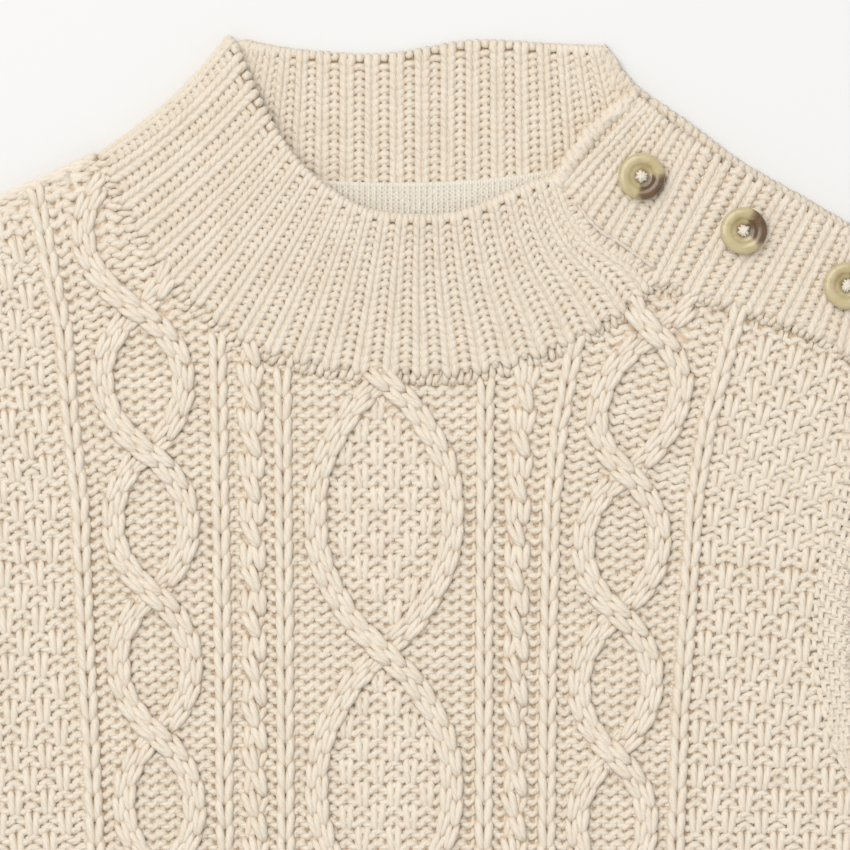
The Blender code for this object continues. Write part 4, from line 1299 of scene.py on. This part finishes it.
for node, side in (("sleeve_left", 1), ("sleeve_right", -1)):

    def sleeve_z(x, y):
        """The middle of the ground's yarn on the sleeve, a little lower round its edges."""
        high = surface(node, x, y)
        return (high if high is not None else 3.2) - 1.0

    rows = round(SLEEVE_LONG * (1 - CUFF_SHARE) / COURSE)
    strands, moss = [], []
    previous = None
    for n in range(rows):
        t = SLEEVE_TOP + (1 - CUFF_SHARE - SLEEVE_TOP) * (n + 0.5) / rows
        wide = np.linalg.norm(sleeve_at(side, 1, t) - sleeve_at(side, 0, t))
        count = 2 * round(wide / WALE / 2)
        ends = [(k + 0.5) / count for k in range(count)]
        stitches = [(*sleeve_at(side, w if side > 0 else 1 - w, t), COURSE) for w in ends]
        knits, behind = (
            [(k - count // 2 + row // 2) % 2 == 0 and 0 < k < count - 1 and n > PLAIN_COURSES for k in range(count)]
            for row in (n, n - 1)
        )
        loops = [BARE_PLAIN_LOOP if bare else PLAIN_LOOP for bare in behind]
        strands.append(course_strand(stitches, sleeve_z, loops))
        if n % 2 and previous and len(previous) == len(stitches):
            for k, (low, high) in enumerate(zip(stitches, previous)):
                if knits[k]:
                    x, y = (low[0] + high[0]) / 2, (low[1] + high[1]) / 2
                    lean = math.atan2(high[0] - low[0], high[1] - low[1])
                    place = level_place(x, y, sleeve_z(x, y) + MOSS_Z - GROUND_Z, lean)
                    moss += knit_legs(place, SLEEVE_LEG, 1.2)
        previous = stitches
    layers = [
        yarn_piece(node + "_ground", strands, 4, ecru_yarn, node),
        yarn_piece(node + "_moss", moss, 4, ecru_yarn, node),
    ]

    def cuff_spot(t, s):
        w = t if side > 0 else 1 - t
        x, y = sleeve_at(side, 0.02 + 0.96 * w, 1 - CUFF_SHARE * s / CUFF_RIB)
        return np.array([x, y, CUFF_Z])

    strands = ribbed(cuff_spot, CUFF_RIBS, lambda t: CUFF_RIB, PLAIN_RIB_LEG, 0.5, COURSE)
    layers.append(yarn_piece(node + "_cuff", strands, 4, plain_yarn, node))
    cloth = cloth_piece(node + "_cloth", squeezed(node, 0.0, SLEEVE_BACKING), node)
    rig.sheet(cloth, flat=(0.175, 0.290), held="laid", area=0.042, with_pieces=layers)

# ---- buttons -------------------------------------------------------------------------
# Three turned horn-effect buttons, olive with a dark brown patch, dished in the middle and sewn through
# four holes with the garment's own yarn.
BUTTON_RADIUS = 6.35
BUTTON_Z = 7.1
THREADS = 9  # strands of sewing yarn over the middle of a button
Button = namedtuple("Button", "name x y patch")  # patch: the side that its dark part lies on, in degrees
BUTTONS = table(Button, (
    ("button_1", 69.7, 147.4, -46), ("button_2", 97.2, 132.8, 12), ("button_3", 125.0, 118.0, 20),
))
Turn = namedtuple("Turn", "r z")  # the button's profile from its middle underneath to its middle on top
TURNED = table(Turn, (
    (0.0, 0.0), (4.6, 0.0), (5.6, 0.35), (6.15, 0.95), (6.35, 1.6), (6.28, 2.2), (5.95, 2.7), (5.4, 2.95),
    (4.7, 3.0), (3.9, 2.86), (3.55, 2.66), (3.2, 2.2), (2.7, 2.0), (1.2, 1.92), (0.0, 1.9),
))
HORN_LIGHT = (0.53, 0.44, 0.25)
HORN_DARK = (0.39, 0.30, 0.13)
HORN_BROWN = (0.085, 0.045, 0.016)


def horn_material(name, x, y, patch):
    """Polished horn effect: olive, clouded, with a brown patch on one side and fine turning rings."""
    made = Finish(name, {"Roughness": 0.22, "Coat Weight": 0.35, "Coat Roughness": 0.08})
    maths = made.maths
    about = {
        0: made.place(),
        "Location": (x * MM, y * MM, 0),
        "Rotation": (0, 0, math.radians(patch)),
        "Scale": (BUTTON_RADIUS * MM,) * 3,
    }
    centred = made.add("Mapping", about, vector_type="TEXTURE").outputs[0]
    cloud = made.noise(centred, 1.3, 4.0, Distortion=0.8)
    across, up = made.split(centred)
    radius = maths("SQRT", maths("ADD", maths("POWER", across, 2.0), maths("POWER", up, 2.0)))
    towards = maths("DIVIDE", across, maths("MAXIMUM", radius, 0.05))
    stir = maths("MULTIPLY", maths("SUBTRACT", cloud, 0.5), 1.3)
    brown = made.smooth(maths("ADD", towards, stir), 0.42, 0.8)
    rim = maths("MULTIPLY", maths("SUBTRACT", radius, 0.6), 0.22)
    khaki = made.ramp(maths("ADD", cloud, rim), 0.3, HORN_DARK, 0.65, HORN_LIGHT)
    streak = made.ramp(cloud, 0.35, HORN_BROWN, 0.75, [2.2 * c for c in HORN_BROWN])
    dish = made.smooth(radius, 0.2, 0.42, 0.6, 0.0)
    colour = made.mix(dish, made.mix(brown, khaki, streak), (*HORN_BROWN, 1))
    return made.finished(colour, maths("SINE", maths("MULTIPLY", radius, 95.0)), 0.12, 0.1 * MM)


# with the same painted shade deep down as the garment's yarn
thread_yarn = yarn_material("sewing_yarn", (0.80, 0.745, 0.635), (0.72, 0.64, 0.51), ECRU_PAINTED_SHADE, lay=3.0, bumps=0.8)
for button in BUTTONS:
    bm = bmesh.new()
    verts = [bm.verts.new((turn.r * MM, 0.0, turn.z * MM)) for turn in TURNED]
    edges = [bm.edges.new(pair) for pair in zip(verts, verts[1:])]
    bmesh.ops.spin(
        bm, geom=verts + edges, cent=(0, 0, 0), axis=(0, 0, 1), angle=2 * math.pi, steps=64, use_merge=True
    )
    bmesh.ops.remove_doubles(bm, verts=bm.verts, dist=1e-6)
    bmesh.ops.translate(bm, vec=Vector((button.x, button.y, BUTTON_Z)) * MM, verts=bm.verts)
    bmesh.ops.recalc_face_normals(bm, faces=bm.faces)
    horn = horn_material(button.name + "_horn", button.x, button.y, button.patch)
    made = mesh_object(button.name + "_horn", bm, horn)
    made.data.shade_smooth()
    shown(made, button.name, "horn")

    strands = []
    for k in range(THREADS):
        angle = uneven.uniform(0, math.pi)
        shift = uneven.uniform(-0.55, 0.55)
        reach = uneven.uniform(1.25, 1.75)
        strand = []
        for off, z, thick in ((-1, 2.0, 0.3), (-0.6, 2.75, 0.38), (0, 3.0, 0.42), (0.6, 2.75, 0.38), (1, 2.0, 0.3)):
            x = math.cos(angle) * off * reach - math.sin(angle) * shift
            y = math.sin(angle) * off * reach + math.cos(angle) * shift
            strand.append((button.x + x, button.y + y, BUTTON_Z + z + 0.03 * k, thick, BUTTON_Z + 3.4))
        strands.append(strand)
    yarn_piece(button.name + "_thread", strands, 6, thread_yarn, button.name, "knit")

# ---- floor, light and camera ---------------------------------------------------------
bm = bmesh.new()
bmesh.ops.create_grid(bm, x_segments=1, y_segments=1, size=6.0)
paper = Finish("paper", {"Roughness": 0.9}).finished((0.765, 0.76, 0.75, 1))
floor = mesh_object("floor", bm, paper)
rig.stage(floor)

world = bpy.data.worlds.new("world")
world.use_nodes = True
sky = world.node_tree.nodes["Background"]
sky.inputs["Color"].default_value = (0.97, 0.98, 1.0, 1)
sky.inputs["Strength"].default_value = 0.72
bpy.context.scene.world = world

lamp = bpy.data.lights.new("window", "AREA")
lamp.shape = "DISK"
lamp.size = 2.6
lamp.energy = 60.0
lamp.color = (1.0, 0.985, 0.955)
window = placed("window", lamp)
window.location = (-0.95, 1.15, 2.6)
window.rotation_mode = "QUATERNION"
window.rotation_quaternion = (Vector((0.011, 0.08, 0)) - Vector(window.location)).to_track_quat("-Z", "Y")

VIEW_ACROSS = 229.5  # mm of the garment across the picture
VIEW_MIDDLE = (11.34, 80.46)
VIEW_FAR = 1.6
VIEW_SENSOR = 36.0
YARN_HIGH = 0.005  # height in metres at which the view is so wide
lens = bpy.data.cameras.new("camera")
lens.sensor_width = VIEW_SENSOR
lens.lens = VIEW_SENSOR * (VIEW_FAR - YARN_HIGH) / (VIEW_ACROSS * MM)
lens.clip_end = 20.0
camera = placed("camera", lens)
camera.location = (VIEW_MIDDLE[0] * MM, VIEW_MIDDLE[1] * MM, VIEW_FAR)
bpy.context.scene.camera = camera
bpy.context.scene.view_settings.view_transform = "Standard"

with open("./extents.json", "w") as f:
    json.dump({"cad": cad_box, "visual": [list(corner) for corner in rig.bounds()]}, f)
